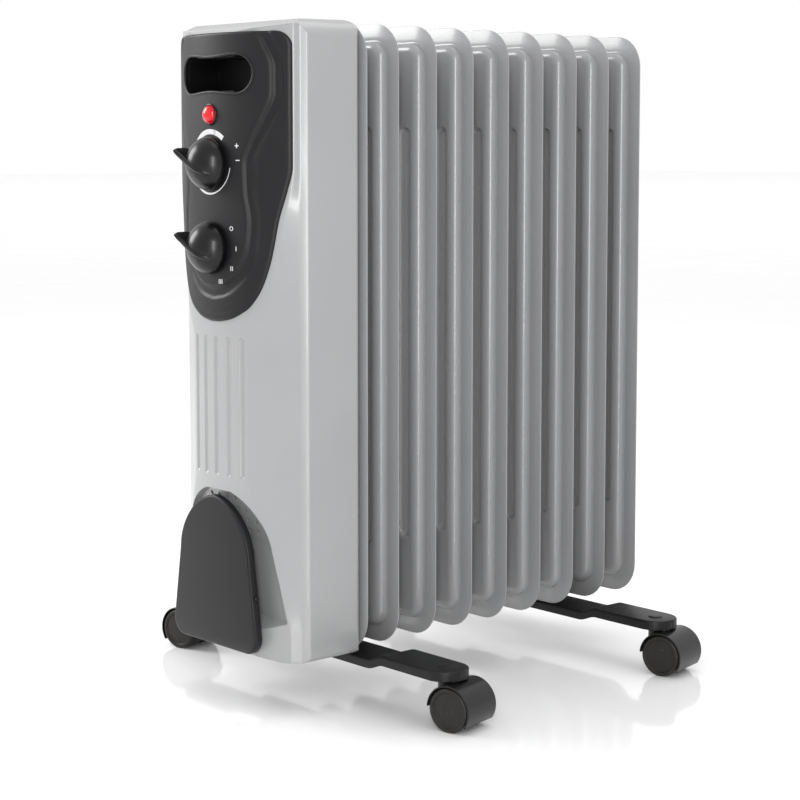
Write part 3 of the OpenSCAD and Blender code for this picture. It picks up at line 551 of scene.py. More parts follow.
def floor_white(colour):
    r = Recipe("studio_floor", Specular_IOR_Level=0.5)
    sheen = r.noise(3, 2)
    r.feed("Base Color", r.mix(sheen, shade(colour, 0.985), shade(colour, 1.0)))
    r.feed("Roughness", sheen * 0.04 + 0.06)
    return r.material


FINISHES = {}


def finish(slot):
    """The material of one of the record's slots, made once."""
    if not FINISHES:
        tone = bpy.context.scene.heater_finish
        FINISHES.update({
            # The elements take a darker copy of the enamel: painted shade for the shade that falls between the
            # fins.
            "enamel_steel": enamel("enamel_steel", tone.fins_painted_shade, 0.3, 900, 0),
            "enamel_housing": enamel("enamel_housing", tone.enamel, 0.31, 1300, 0.0012),
            "panel_plastic": moulded("panel_plastic", tone.panel, 0.42, 2600, 0.0006),
            "black_plastic": moulded("black_plastic", tone.black, 0.5, 2200, 0.0006),
            "knob_plastic": moulded("knob_plastic", tone.knob, 0.3, 3000, 0, 0.12, 0.05),
            "foot_plastic": moulded("foot_plastic", tone.foot, 0.42, 2400, 0.0008),
            "hood_plastic": moulded("hood_plastic", tone.black, 0.3, 2600, 0.0005, 0.2, 0.1),
            "wheel_plastic": wheel_plastic(tone.wheel),
            "cream_plastic": moulded("cream_plastic", tone.cream, 0.45, 1800, 0.0004),
            "steel": zinc("steel", tone.steel, 0.35),
            "brass": brass(),
            "rubber": rubber("rubber", tone.black),
            "silicone": rubber("silicone", (0.45, 0.06, 0.04)),
            "lens_red": lens_red(tone.lens),
            "lamp": lamp_glass(),
            "oil": oil(),
            "print": print_white(),
        })
    return FINISHES[slot]


# ---------- values a user may change ----------


def length(name, text, default, low=0.0, high=2.0):
    return FloatProperty(
        name=name, description=text, default=default, min=low, max=high, unit="LENGTH", precision=4,
    )


def colour(name, text, default):
    return FloatVectorProperty(
        name=name, description=text, default=default, subtype="COLOR", size=3, min=0, max=1,
    )


def power(name, text, default):
    return FloatProperty(name=name, description=text, default=default, unit="POWER")


class HeaterElements(bpy.types.PropertyGroup):
    corner_r: length("Corner Radius", "Radius of an element's corners", 0.032)
    seam_w: length("Seam", "Width of the flat seam round an element", 0.016)
    shoulder: length("Shoulder", "Width of the rounded shoulder inside the seam", 0.009)
    slot_w: length("Slot Width", "Width of a welded slot", 0.020)
    slot_land: length("Outer Channel", "Width of the oil channel outside the outermost slots", 0.010)
    slot_end: length("Slot End", "Distance from the element's ends to the slots", 0.101)
    slot_count: IntProperty(name="Slots", description="Number of welded slots", default=4, min=2, max=4)
    neck_flare: length("Neck Flare", "How far a collector's neck widens at the sheets", 0.004)
    bead_r: length("Weld Bead", "Radius of the weld bead round a collector", 0.0012)


class HeaterPanel(bpy.types.PropertyGroup):
    island_rise: length("Island Rise", "Height of the raised middle above the skin", 0.002)
    valley_w: length("Valley Width", "Width of the valley beside the raised middle", 0.011)
    valley_h: length("Valley Height", "Height of the valley's floor above the housing", 0.0011)
    line_in: length("Line Inset", "Distance of the decorative line from the panel's edge", 0.0075)
    rim_r: length("Grip Rim", "Radius of the rim round the hand grip", 0.0014)


class HeaterKnobs(bpy.types.PropertyGroup):
    radius: length("Radius", "Radius of a knob", 0.024)
    skirt: length("Skirt", "Height of the straight part below the dome", 0.004)
    dome: length("Dome", "Height of the dome above the skirt", 0.017)
    blade_t: length("Blade", "Thickness of the blade at its foot", 0.005)
    bow: length("Blade Bow", "How far the blade curves sideways", 0.002)
    pointer: FloatProperty(
        name="Pointer", description="Direction of the blade's tip at rest, from the right, anticlockwise",
        default=math.radians(152), subtype="ANGLE",
    )


class HeaterCasters(bpy.types.PropertyGroup):
    wheel_w: length("Wheel Width", "Width of one wheel", 0.020)
    gap: length("Hood Gap", "Gap between wheel and hood", 0.0012)
    wall: length("Hood Wall", "Wall of the hood", 0.0013)
    web: length("Web", "Thickness of the web between the wheels", 0.004)
    dish: length("Dish", "How far the wheel's face is dished round its middle", 0.0012)


class HeaterFinish(bpy.types.PropertyGroup):
    enamel: colour("Enamel", "Colour of the control housing's enamel", (0.285, 0.287, 0.291))
    # Darker than the housing's enamel: painted shade for the shade that falls between the fins.
    fins_painted_shade: colour("Elements", "Colour of the elements' enamel", (0.245, 0.247, 0.252))
    panel: colour("Panel", "Colour of the control panel and the winder plate", (0.007, 0.007, 0.0082))
    black: colour("Black", "Colour of the hand grip, hoods and winder post", (0.004, 0.004, 0.0043))
    knob: colour("Knobs", "Colour of the knobs", (0.002, 0.002, 0.0022))
    foot: colour("Feet", "Colour of the feet", (0.006, 0.0062, 0.0067))
    wheel: colour("Wheels", "Colour of the wheels", (0.014, 0.012, 0.0105))
    cream: colour("Cream", "Colour of the heat-proof mouldings", (0.78, 0.74, 0.62))
    steel: colour("Steel", "Colour of the plated steel", (0.62, 0.62, 0.64))
    lens: colour("Lens", "Colour of the pilot light's lens", (0.50, 0.001, 0.006))


class HeaterStage(bpy.types.PropertyGroup):
    floor: colour("Floor", "Colour of the studio floor", (0.9, 0.9, 0.9))
    key: power("Key Light", "Power of the large soft light on the left", 70.0)
    fill: power("Fill Light", "Power of the tall light beside the camera", 24.0)
    sky: FloatProperty(name="Sky", description="Brightness of the surroundings", default=1.0, min=0)
    focal: FloatProperty(name="Focal Length", description="Focal length in millimetres", default=88.31)


GROUPS = {
    "heater_elements": HeaterElements,
    "heater_panel": HeaterPanel,
    "heater_knobs": HeaterKnobs,
    "heater_casters": HeaterCasters,
    "heater_finish": HeaterFinish,
    "heater_stage": HeaterStage,
}


# ---------- oil elements ----------


def rect_ring(half, low, high, r, y, steps=8):
    """A ring round a rectangle with round corners."""
    r = max(r, 1.0)
    corners = [(half - r, high - r, 90, 0), (half - r, low + r, 0, -90)]
    corners += [(r - half, low + r, -90, -180), (r - half, high - r, 180, 90)]
    return [(x, y, z) for cx, cz, a, b in corners for x, z in arc(cx, cz, r, a, b, steps)]


def capsule_ring(x, low, high, r, y, steps=12):
    """A ring round an upright slot with round ends."""
    ends = arc(x, high, r, 180, 0, steps) + arc(x, low, r, 0, -180, steps)
    return [(px, y, pz) for px, pz in ends]


class Fin:
    """Collects one pressed element's points and faces."""

    def __init__(self):
        self.shape = bmesh.new()

    def ring(self, points):
        return [self.shape.verts.new([c * MM for c in p]) for p in points]

    def strip(self, first, second):
        for i in range(len(first)):
            j = (i + 1) % len(first)
            self.shape.faces.new([first[i], first[j], second[j], second[i]])

    def plate(self, rings):
        """Fills the flat area between an outer ring and the rings inside it."""
        edges = []
        for ring in rings:
            for i, vert in enumerate(ring):
                other = ring[(i + 1) % len(ring)]
                edges.append(self.shape.edges.get([vert, other]) or self.shape.edges.new([vert, other]))
        bmesh.ops.triangle_fill(self.shape, edges=edges, use_beauty=True, use_dissolve=False)


def pressed_element(name, y):
    """Two sheets, pressed and seam welded, with slots between the oil channels."""
    size = bpy.context.scene.heater_elements
    seam, shoulder, corner = size.seam_w / MM, size.shoulder / MM, size.corner_r / MM
    slot_half, land = size.slot_w / MM / 2, size.slot_land / MM
    half, low, high = ELEMENT_HIGH.x, ELEMENT_LOW.z, ELEMENT_HIGH.z
    sheet = 0.7
    turns = [math.radians(a) for a in spread(0, 90, 8)]
    rim = [(0, 0.45), (0.35, sheet), (seam - 1.6, sheet), (seam - 0.5, sheet + 0.15)]

    def rise(width, foot):
        """A rounded step from a foot's height up to the channel's face."""
        return [(width * (1 - math.cos(t)), foot + (HALF_T - foot) * math.sin(t)) for t in turns]

    rim += [(seam + d, h) for d, h in rise(shoulder, sheet + 0.4)]
    inset = shoulder * 0.55
    wall = rise(inset, sheet + 0.3)
    pitch = (2 * (half - seam - land - slot_half)) / (size.slot_count - 1)
    middles = [(i - (size.slot_count - 1) / 2) * pitch for i in range(size.slot_count)]
    fin = Fin()
    edges = []
    for side in (-1, 1):
        rings = [fin.ring(rect_ring(half - d, low + d, high - d, corner - d, y + side * h)) for d, h in rim]
        for a, b in zip(rings, rings[1:]):
            fin.strip(a, b)
        edges.append(rings[0])
        tops = [rings[-1]]
        slot_low, slot_high = low + size.slot_end / MM, high - size.slot_end / MM
        floor_r = slot_half - inset
        for x in middles:
            slot = [
                fin.ring(capsule_ring(x, slot_low, slot_high, floor_r + d, y + side * h)) for d, h in wall
            ]
            for a, b in zip(slot, slot[1:]):
                fin.strip(a, b)
            floor = fin.ring(capsule_ring(x, slot_low, slot_high, floor_r - 1.2, y + side * sheet))
            fin.strip(floor, slot[0])
            fin.shape.faces.new(floor)
            tops.append(slot[-1])
        fin.plate(tops)
    fin.strip(edges[0], edges[1])
    mesh = bpy.data.meshes.new(name)
    fin.shape.to_mesh(mesh)
    fin.shape.free()
    obj = bpy.data.objects.new(name, mesh)
    bpy.context.scene.collection.objects.link(obj)
    return finish_mesh(obj, 50)


COLLECTORS = ("lower_collector", "upper_collector")


def collector(node):
    """Height and radius of a collector."""
    low, high = box(node)
    return (low.z + high.z) / 2, (high.z - low.z) / 2


def neck_profile(start, end, r, flare):
    """Collector neck between two sheets, wider where it meets them."""
    inner = r - 1.4
    outer = []
    for t in spread(0, 1, 10):
        ease = max(0.0, 1 - 5 * t, 5 * t - 4) ** 2
        outer.append((r + flare * ease, start + (end - start) * t))
    return [(inner, start)] + outer + [(inner, end)]


class HEATER_OT_elements(bpy.types.Operator):
    """Builds the pressed steel elements and the collector tubes between them"""

    bl_idname = "heater.elements"
    bl_label = "Oil Elements"

    def execute(self, context):
        flare = context.scene.heater_elements.neck_flare / MM
        for i, y in enumerate(ELEMENT_YS):
            obj = pressed_element(f"pressed_element_{i + 1}", y)
            place_piece(obj, finish("enamel_steel"), stands_for=[f"element_{i + 1}"])
        for node in COLLECTORS:
            z, r = collector(node)
            necks = []
            for y, following in zip(ELEMENT_YS, ELEMENT_YS[1:]):
                profile = neck_profile(y + HALF_T, following - HALF_T, r, flare)
                necks.append(lathe("neck", profile, (0, 0, z), (0, 1, 0), 64))
            row = joined(f"{node}_necks", necks)
            place_piece(row, finish("enamel_steel"), stands_for=[node])
        return {"FINISHED"}


def bead_tree():
    """Node tree that repeats a ring of weld along a line."""
    tree = bpy.data.node_groups.new("Weld Beads", "GeometryNodeTree")
    face = tree.interface
    face.new_socket("Geometry", in_out="OUTPUT", socket_type="NodeSocketGeometry")
    for name, kind in (("Count", "Int"), ("Start", "Vector"), ("Step", "Vector"), ("Ring Radius", "Float"),
                       ("Bead Radius", "Float"), ("Finish", "Material")):
        face.new_socket(name, in_out="INPUT", socket_type=f"NodeSocket{kind}")
    entry = tree.nodes.new("NodeGroupInput")
    line = tree.nodes.new("GeometryNodeMeshLine")
    line.mode = "OFFSET"
    ring = tree.nodes.new("GeometryNodeCurvePrimitiveCircle")
    ring.inputs["Resolution"].default_value = 64
    section = tree.nodes.new("GeometryNodeCurvePrimitiveCircle")
    section.inputs["Resolution"].default_value = 8
    sweep = tree.nodes.new("GeometryNodeCurveToMesh")
    place = tree.nodes.new("GeometryNodeInstanceOnPoints")
    place.inputs["Rotation"].default_value = Euler((math.pi / 2, 0, 0))
    real = tree.nodes.new("GeometryNodeRealizeInstances")
    coat = tree.nodes.new("GeometryNodeSetMaterial")
    leave = tree.nodes.new("NodeGroupOutput")
    wires = [
        (entry.outputs["Count"], line.inputs["Count"]),
        (entry.outputs["Start"], line.inputs["Start Location"]),
        (entry.outputs["Step"], line.inputs["Offset"]),
        (entry.outputs["Ring Radius"], ring.inputs["Radius"]),
        (entry.outputs["Bead Radius"], section.inputs["Radius"]),
        (ring.outputs["Curve"], sweep.inputs["Curve"]),
        (section.outputs["Curve"], sweep.inputs["Profile Curve"]),
        (line.outputs["Mesh"], place.inputs["Points"]),
        (sweep.outputs["Mesh"], place.inputs["Instance"]),
        (place.outputs["Instances"], real.inputs["Geometry"]),
        (real.outputs["Geometry"], coat.inputs["Geometry"]),
        (entry.outputs["Finish"], coat.inputs["Material"]),
        (coat.outputs["Geometry"], leave.inputs["Geometry"]),
    ]
    for start, end in wires:
        tree.links.new(start, end)
    return tree


def from_tree(name, tree, **values):
    """A plain mesh object made by a node tree with the given inputs."""
    mesh = bpy.data.meshes.new(name)
    obj = bpy.data.objects.new(name, mesh)
    bpy.context.scene.collection.objects.link(obj)
    modifier = obj.modifiers.new("nodes", "NODES")
    modifier.node_group = tree
    sockets = {s.name: s.identifier for s in tree.interface.items_tree if s.in_out == "INPUT"}
    for key, value in values.items():
        modifier[sockets[key.replace("_", " ")]] = value
    return finish_mesh(settled(obj), 60)


class HEATER_OT_welds(bpy.types.Operator):
    """Runs a weld bead round each collector between the elements"""

    bl_idname = "heater.welds"
    bl_label = "Collector Welds"

    def execute(self, context):
        size = context.scene.heater_elements
        tree = bead_tree()
        pitch = ELEMENT_YS[2] - ELEMENT_YS[1]
        rows = []
        for node in COLLECTORS:
            z, r = collector(node)
            rows.append(from_tree(
                "bead_row", tree, Count=ELEMENT_COUNT - 2,
                Start=(0, (ELEMENT_YS[1] + pitch / 2) * MM, z * MM), Step=(0, pitch * MM, 0),
                Ring_Radius=r * MM, Bead_Radius=size.bead_r, Finish=finish("enamel_steel"),
            ))
        place_piece(joined("collector_welds", rows), finish("enamel_steel"))
        return {"FINISHED"}


# ---------- control housing ----------

FRONT_WIDTHS = [
    (0, RECESS_HALF + 1), (RECESS_FOOT, RECESS_HALF), (RECESS_SIDE, RECESS_HALF - 9),
    (RECESS_SIDE + 41, RECESS_HALF - 20), (RECESS_TOP - 17, WAIST_HALF + 7), (WAIST_LOW, WAIST_HALF),
    (WAIST_TOP, WAIST_HALF), (PANEL_FOOT + 4, FACET_HALF - 30), (PANEL_FOOT + 37, FACET_HALF - 20),
    (PANEL_FOOT + 94, FACET_HALF - 9), (PANEL_FOOT + 141, FACET_HALF), (HOUSING_HIGH.z + 70, FACET_HALF),
]


def front_width(z):
    """Half width of the raised front at a height."""
    return eased_curve(FRONT_WIDTHS, z)


def sag(x):
    """How far the curved front falls back at a distance from the middle."""
    return NOSE_R - math.sqrt(NOSE_R * NOSE_R - x * x)


def front_y(x, z, grow):
    """Place of the housing's front along Y, moved out by grow."""
    x = abs(x)
    w = front_width(z)
    if x <= w:
        return NOSE_Y + sag(x) - grow
    end_x, end_y = EDGE_X + grow * 0.7, EDGE_Y - grow * 0.7
    start_y = NOSE_Y + sag(w) - grow
    return start_y + (end_y - start_y) * (x - w) / (end_x - w)


def core(name, grow, levels):
    """The housing's endless core between some heights, moved out by grow."""
    rings = []
    for z in levels:
        w = front_width(z)
        nose = [(x, NOSE_Y + sag(x) - grow) for x in spread(0, w, 12)]
        ends = [(EDGE_X + grow * 0.7, EDGE_Y - grow * 0.7), (HOUSING_HALF + grow, SIDE_FRONT_Y - grow * 0.4)]
        back_y = HOUSING_HIGH.y - SHOULDER_R
        shoulder = arc(HOUSING_HALF - SHOULDER_R, back_y, SHOULDER_R + grow, 0, 90, 8)
        corner = fillet([nose[-2], nose[-1], *ends, shoulder[0]], 1.6)[1:-1]
        outline = mirrored(nose[:-1] + corner + shoulder)
        rings.append([(x, y, z) for x, y in outline])
    return skin(name, rings, 14)


def side_cut(name, grow):
    """Everything inside the housing's side view."""
    low, high, back = HOUSING_LOW.z - grow, HOUSING_HIGH.z + grow, HOUSING_HIGH.y + grow
    nose, r = NOSE_Y, SHOULDER_R
    outline = [(nose - 20, low + 24), (nose - grow, low + 15), (nose + 8, low + 3), (nose + 18, low)]
    outline += arc(back - r, low + r, r, -90, 0, 8) + arc(back - r, high - r, r, 0, 90, 8)
    outline += [(SIDE_FRONT_Y, high - 1), (nose + 30, high - 5), (nose + 8, high - 9)]
    outline += [(nose - grow, high - 13), (nose - 20, high - 30)]
    return along_x(name, outline, 200)


def front_cut(name, grow):
    """Everything inside the housing's front view."""
    x, low, high = HOUSING_HALF + grow + 1, HOUSING_LOW.z - grow - 1, HOUSING_HIGH.z + grow + 1
    top_r, low_r = 24, 10
    right = arc(x - low_r, low + low_r, low_r, -90, 0, 8) + arc(x - top_r, high - top_r, top_r, 0, 90, 16)
    return along_y(name, mirrored(right), NOSE_Y - 50, HOUSING_HIGH.y + 30)


def housing_solid(name, grow):
    """The housing as a full solid, moved out by grow."""
    levels = [0.0, RECESS_FOOT * 0.6] + spread(RECESS_FOOT, PANEL_FOOT + 150, 64) + [HOUSING_HIGH.z + 60]
    shape = core(name, grow, levels)
    return combine(shape, side_cut("side", grow), front_cut("front", grow), operation="INTERSECT")


def recess(name, grow):
    """What the winder's recess takes away, moved out by grow."""
    w, arch_r = RECESS_HALF + grow, RECESS_HALF - 15
    arch = arc(0, RECESS_TOP - arch_r, arch_r + grow, 15, 90, 14)
    right = [(w, RECESS_FOOT - grow), (w - 9, RECESS_SIDE)] + arch
    outline = fillet(right, 6, 4)
    shape = along_y(name, mirrored(outline), NOSE_Y - 60, RECESS_Y + grow)
    side = [
        (NOSE_Y - 50, RECESS_FOOT - 20 - grow), (NOSE_Y, RECESS_FOOT - grow),
        (RECESS_Y + grow, RECESS_FOOT + 14 - grow), (RECESS_Y + grow, RECESS_TOP - 50 + grow),
        (NOSE_Y + 10 + grow, RECESS_TOP - 3 + grow), (NOSE_Y - 50, RECESS_TOP + grow),
    ]
    return combine(shape, along_x("recess_side", side, 200), operation="INTERSECT")


def grip_outline(grow, steps=20):
    """Bone-shaped outline of the hand grip opening."""
    low, high = box("grip_pocket")
    half, middle, r = high.x - 2, (low.z + high.z) / 2, (high.z - low.z) / 2 - 2
    lobe = half - r
    dip = 2
    places = spread(-lobe, lobe, steps)[1:-1]
    waist = [(x, r + grow - dip * (0.5 + 0.5 * math.cos(math.pi * x / lobe))) for x in places]
    right = arc(lobe, middle, r + grow, -90, 90, steps)
    left = [(-x, z) for x, z in reversed(right)]
    over = [(x, middle + h) for x, h in reversed(waist)]
    return right + over + left + [(x, middle - h) for x, h in waist]


def groove_tools():
    """Solids that cut the decorative grooves."""
    r, deep, pitch, count = 4, 1.6, 17, 5
    tools = []
    for i in range(count):
        x = (i - (count - 1) / 2) * pitch
        profile = arc(0, WAIST_LOW - 2, r, -90, 0, 6) + arc(0, WAIST_TOP + 2, r, 0, 90, 6)
        place = (x, NOSE_Y + sag(x) - r + deep, 0)
        tools.append(lathe("groove", profile, place, (0, 0, 1), 32))
    return tools


def vent_tools():
    """Solids that cut the vent holes above the winder."""
    pitch, row_pitch, r = 12, 10, 2
    tools = []
    for row, last in enumerate((2, 3, 3, 4)):
        for k in range(-last, last + 1):
            if abs(k) >= row - 1:
                place = (k * pitch, 0, RECESS_TOP - 10 - row * row_pitch)
                tools.append(rod("vent", place, (0, 1, 0), r, NOSE_Y - 20, RECESS_Y + 20, 16))
    return tools


class HEATER_OT_housing(bpy.types.Operator):
    """Builds the control housing with its hourglass front, recess, vents and grooves"""

    bl_idname = "heater.housing"
    bl_label = "Control Housing"

    def execute(self, context):
        shell = housing_solid("housing_shell", 0)
        room = housing_solid("room", -WALL)
        half, low, high = ELEMENT_HIGH.x - 13, ELEMENT_LOW.z + 13, ELEMENT_HIGH.z - 13
        opening = rect_ring(half, low, high, 24, 0)
        back = along_y("back", [(x, z) for x, _, z in opening], HOUSING_HIGH.y - 20, HOUSING_HIGH.y + 5)
        combine(room, back, operation="UNION")
        combine(room, recess("recess_wall", WALL))
        combine(shell, room, recess("recess", 0), *groove_tools(), *vent_tools())
        combine(shell, along_y("grip", grip_outline(2.5), NOSE_Y - 20, NOSE_Y + 30))
        for name in ("thermostat_turn", "selector_turn"):
            place = joint_place(name)[0]
            combine(shell, rod("hole", (0, 0, place.z), (0, 1, 0), 4.5, NOSE_Y - 20, NOSE_Y + 20))
        place_piece(shell, finish("enamel_housing"), stands_for=["control_housing"])
        return {"FINISHED"}


# ---------- control panel ----------

PANEL_WIDTHS = [
    (0, 6), (1.5, 16), (4, 25), (15, 44), (34, 57), (58, 65), (94, 72), (118, 78.5), (141, 83), (1000, 83),
]
ISLAND_WIDTHS = [
    (31, 0), (33, 12), (36, 19), (49, 34), (70, 43), (92, 45), (117, 41), (142, 40), (160, 46), (182, 58),
    (207, 68), (227, 68), (250, 59), (262, 52),
]


def panel_half(z):
    """Half width of the panel at a height."""
    corner = 14
    half = eased_curve(PANEL_WIDTHS, z - PANEL_FOOT)
    above = max(0.0, z - (PANEL_TOP - corner))
    return half - corner + math.sqrt(max(0.0, corner * corner - above * above))


def island_half(z):
    """Half width of the raised middle at a height."""
    return eased_curve(ISLAND_WIDTHS, z - PANEL_FOOT)


def distances(points, line):
    """Distance of each point to a closed line, positive inside it."""
    pts = np.array(points)[:, None, :]
    a = np.array(line)
    b = np.roll(a, -1, axis=0)
    way = b - a
    t = np.clip(((pts - a) * way).sum(2) / (way * way).sum(1), 0, 1)
    gap = np.linalg.norm(pts - (a + t[..., None] * way), axis=2).min(1)
    cross = (a[:, 1] > pts[..., 1]) != (b[:, 1] > pts[..., 1])
    rise = np.where(np.abs(way[:, 1]) < 1e-9, 1e-9, way[:, 1])
    hit = a[:, 0] + (pts[..., 1] - a[:, 1]) * way[:, 0] / rise
    inside = (cross & (pts[..., 0] < hit)).sum(1) % 2 == 1
    return np.where(inside, gap, -gap)


def panel_height(to_island, to_edge):
    """Height of the panel above the housing, from the distances to the island's line and the edge."""
    size = bpy.context.scene.heater_panel
    top = PANEL_T + size.island_rise / MM
    valley, width = size.valley_h / MM, size.valley_w / MM
    if to_island >= 0:
        height = top - 0.9 * max(0.0, 1 - to_island / 2.6) ** 2
    else:
        out = -to_island
        fall = top - 0.9 - (top - 0.9 - valley) * smooth(out / 1.8)
        height = fall if out < 1.8 else valley + (PANEL_T - valley) * smooth((out - width + 3) / 3.5)
    line_in = size.line_in / MM
    if to_island < -1:
        height -= 0.4 * max(0.0, 1 - abs(to_edge - line_in) / 0.9)
    return height - 1.4 * max(0.0, 1 - to_edge / 2.2) ** 2


def island_surface(x, z):
    """Height of the raised middle's face above the housing at a place well inside it."""
    return front_y(x, z, PANEL_T + bpy.context.scene.heater_panel.island_rise / MM)


def panel_columns(z):
    """Places across the right half of the panel at a height, close together where the surface turns."""
    edge = panel_half(z)
    mid = min(max(island_half(z), 0.25 * edge), max(edge - 14, 0.55 * edge))
    inner = [mid * t for t in spread(0, 0.88, 7)]
    shoulder = spread(mid - min(3, mid * 0.1), min(mid + 4, (mid + edge) / 2), 8)
    outer = spread(shoulder[-1], edge - min(3, edge * 0.1), 9)[1:]
    rim = [edge - min(3, edge * 0.1) * (1 - t) for t in spread(0.2, 1, 5)]
    return inner + shoulder + outer + rim


class HEATER_OT_panel(bpy.types.Operator):
    """Builds the control panel with its raised middle, valley, line and hand grip opening"""

    bl_idname = "heater.panel"
    bl_label = "Control Panel"

    def execute(self, context):
        low = spread(PANEL_FOOT, PANEL_FOOT + 6, 8) + spread(PANEL_FOOT + 7, PANEL_FOOT + 60, 44)
        high = spread(PANEL_FOOT + 62, PANEL_TOP - 16, 92) + spread(PANEL_TOP - 15, PANEL_TOP - 3, 10)
        rows = low + high + spread(PANEL_TOP - 2.4, PANEL_TOP, 6)
        edge_line = mirrored([(0, PANEL_FOOT)] + [(panel_half(z), z) for z in rows[1:]] + [(0, PANEL_TOP)])
        heights = spread(PANEL_FOOT + 31, PANEL_FOOT + 262, 120)
        island_line = mirrored([(island_half(z), z) for z in heights])
        points = []
        for z in rows:
            right = panel_columns(z)
            points += [(x, z) for x in [-x for x in reversed(right[1:])] + right]
        to_island = distances(points, island_line)
        to_edge = distances(points, edge_line)
        count = len(points) // len(rows)
        front, back = [], []
        for (x, z), a, b in zip(points, to_island, to_edge):
            front.append((x, front_y(x, z, panel_height(a, max(b, 0.0))), z))
            back.append((x, front_y(x, z, SKIN_GAP), z))
        faces = []
        shift = len(points)
        for r in range(len(rows) - 1):
            for k in range(count - 1):
                a = r * count + k
                faces.append([a, a + 1, a + count + 1, a + count])
                faces.append([shift + a, shift + a + count, shift + a + count + 1, shift + a + 1])
            for a in (r * count, (r + 1) * count - 1):
                faces.append([a, a + count, shift + a + count, shift + a])
        last = (len(rows) - 1) * count
        for base in (0, last):
            for k in range(count - 1):
                a = base + k
                faces.append([a, a + 1, shift + a + 1, shift + a])
        skin_piece = solid("panel_skin", front + back, faces, 50)
        combine(skin_piece, along_y("grip", grip_outline(0), NOSE_Y - 20, NOSE_Y + 30))
        for name in ("thermostat_turn", "selector_turn"):
            place = joint_place(name)[0]
            combine(skin_piece, rod("hole", (0, 0, place.z), (0, 1, 0), 4.5, NOSE_Y - 20, NOSE_Y + 20))
        finish_mesh(skin_piece, 50)
        place_piece(skin_piece, finish("panel_plastic"), stands_for=["control_panel"])
        rim_r = context.scene.heater_panel.rim_r / MM
        path = [(x, island_surface(x, z) + rim_r * 0.35, z) for x, z in grip_outline(rim_r * 0.6, 28)]
        rim = tube("grip_rim", path, rim_r, 10)
        place_piece(rim, finish("panel_plastic"))
        return {"FINISHED"}


class HEATER_OT_pilot(bpy.types.Operator):
    """Builds the pilot light's lens and its bezel"""

    bl_idname = "heater.pilot"
    bl_label = "Pilot Light"

    def execute(self, context):
        low, high = box("pilot_lens")
        place = (0, 0, (low.z + high.z) / 2)
        r = (high.z - low.z) / 2
        face = ISLAND_Y
        top = low.y
        rise = face - top
        dome = [(r * math.sin(t), face - rise * math.cos(t)) for t in map(math.radians, spread(0, 84, 12))]
        profile = dome + [(r, face - 0.1), (r - 3, face - 0.1), (r - 3, high.y), (0, high.y)]
        lens = lathe("pilot_dome", profile, place, (0, 1, 0), 64)
        place_piece(lens, finish("lens_red"), stands_for=["pilot_lens"])
        ring = [(r + 0.1, face + 1.2), (r + 0.1, face - 0.9), (r + 0.5, face - 1.3), (r + 1.1, face - 1.1)]
        ring += [(r + 1.6, face - 0.4), (r + 1.7, face + 1.2)]
        bezel = lathe("pilot_bezel", ring, place, (0, 1, 0), 64, 60)
        place_piece(bezel, finish("knob_plastic"))
        return {"FINISHED"}


# ---------- knobs and marks ----------


def knob_piece(name, z):
    """A domed knob with a tall, slightly curved blade."""
    size = bpy.context.scene.heater_knobs
    r, skirt, dome = size.radius / MM, size.skirt / MM, size.dome / MM
    base_y = ISLAND_Y - 1
    cap_r = (r * r + dome * dome) / (2 * dome)
    cap = []
    reach = math.asin(r / cap_r)
    for t in spread(0, 0.97, 14):
        cap.append((cap_r * math.sin(reach * t), skirt + dome - cap_r * (1 - math.cos(reach * t))))
    profile = cap + [(r - 0.15, skirt + 0.4), (r, skirt - 0.4), (r, 0.6), (r - 0.5, 0), (r - 2, 0)]
    profile += [(r - 2, 1.5), (0, 1.5)]
    body = lathe(name, profile, (0, base_y, z), (0, -1, 0), 96)
    top_line = [(-r + 1, 6.5), (-r * 0.6, 18.5), (-6, 22.2), (6, 23), (r - 9, 23.4)]
    top_line += [(r, 24.8), (r + 1.6, 24), (r + 2.4, 21)]
    turn = size.pointer
    across, bow = size.blade_t / MM / 2, size.bow / MM
    rings = []
    for u in spread(-r + 1.2, r + 2.3, 30):
        top = eased_curve(top_line, u)
        foot = 3.0 if u < r - 2 else 3.0 + (u - r + 2) * 1.6
        drift = bow * (1 - (u / r) ** 2)
        slim = across * (1 - 0.35 * smooth((u - r + 6) / 8))
        section = [(-slim, foot), (-slim * 0.92, top - 2.4)]
        section += [(-slim * 0.7, top - 0.8), (-slim * 0.3, top - 0.1)]
        section += [(-a, b) for a, b in reversed(section)]
        ring = []
        for v, h in section:
            x = u * math.cos(turn) - (v + drift) * math.sin(turn)
            up = u * math.sin(turn) + (v + drift) * math.cos(turn)
            ring.append((x, base_y - h, z + up))
        rings.append(ring)
    blade = skin("blade", rings, 40)
    combine(body, blade, operation="UNION")
    return finish_mesh(body, 40)


def printed(name, outline, lift=0.12):
    """A thin printed mark on the raised middle, from a flat outline in X and Z."""
    front = [(x, island_surface(x, z) - lift, z) for x, z in outline]
    back = [(x, island_surface(x, z) + 0.05, z) for x, z in outline]
    return skin(name, [back, front])


def bar(x, z, width, height):
    return printed("bar", [(x - width / 2, z - height / 2), (x + width / 2, z - height / 2),
                           (x + width / 2, z + height / 2), (x - width / 2, z + height / 2)])


def band(z, inner, start, end, thin, thick):
    """A printed band round a dial that grows from thin to thick."""
    parts = []
    steps = 72
    turns = [math.radians(a) for a in spread(start, end, steps)]
    widths = [thin + (thick - thin) * smooth(i / steps * 1.25) for i in range(steps + 1)]
    for i in range(steps):
        a, b = turns[i], turns[i + 1]
        ra, rb = inner + widths[i], inner + widths[i + 1]
        outline = [(inner * math.cos(a), z + inner * math.sin(a)), (ra * math.cos(a), z + ra * math.sin(a)),
                   (rb * math.cos(b), z + rb * math.sin(b)), (inner * math.cos(b), z + inner * math.sin(b))]
        parts.append(printed("sector", outline))
    obj = joined("band", parts)
    return finish_mesh(obj)


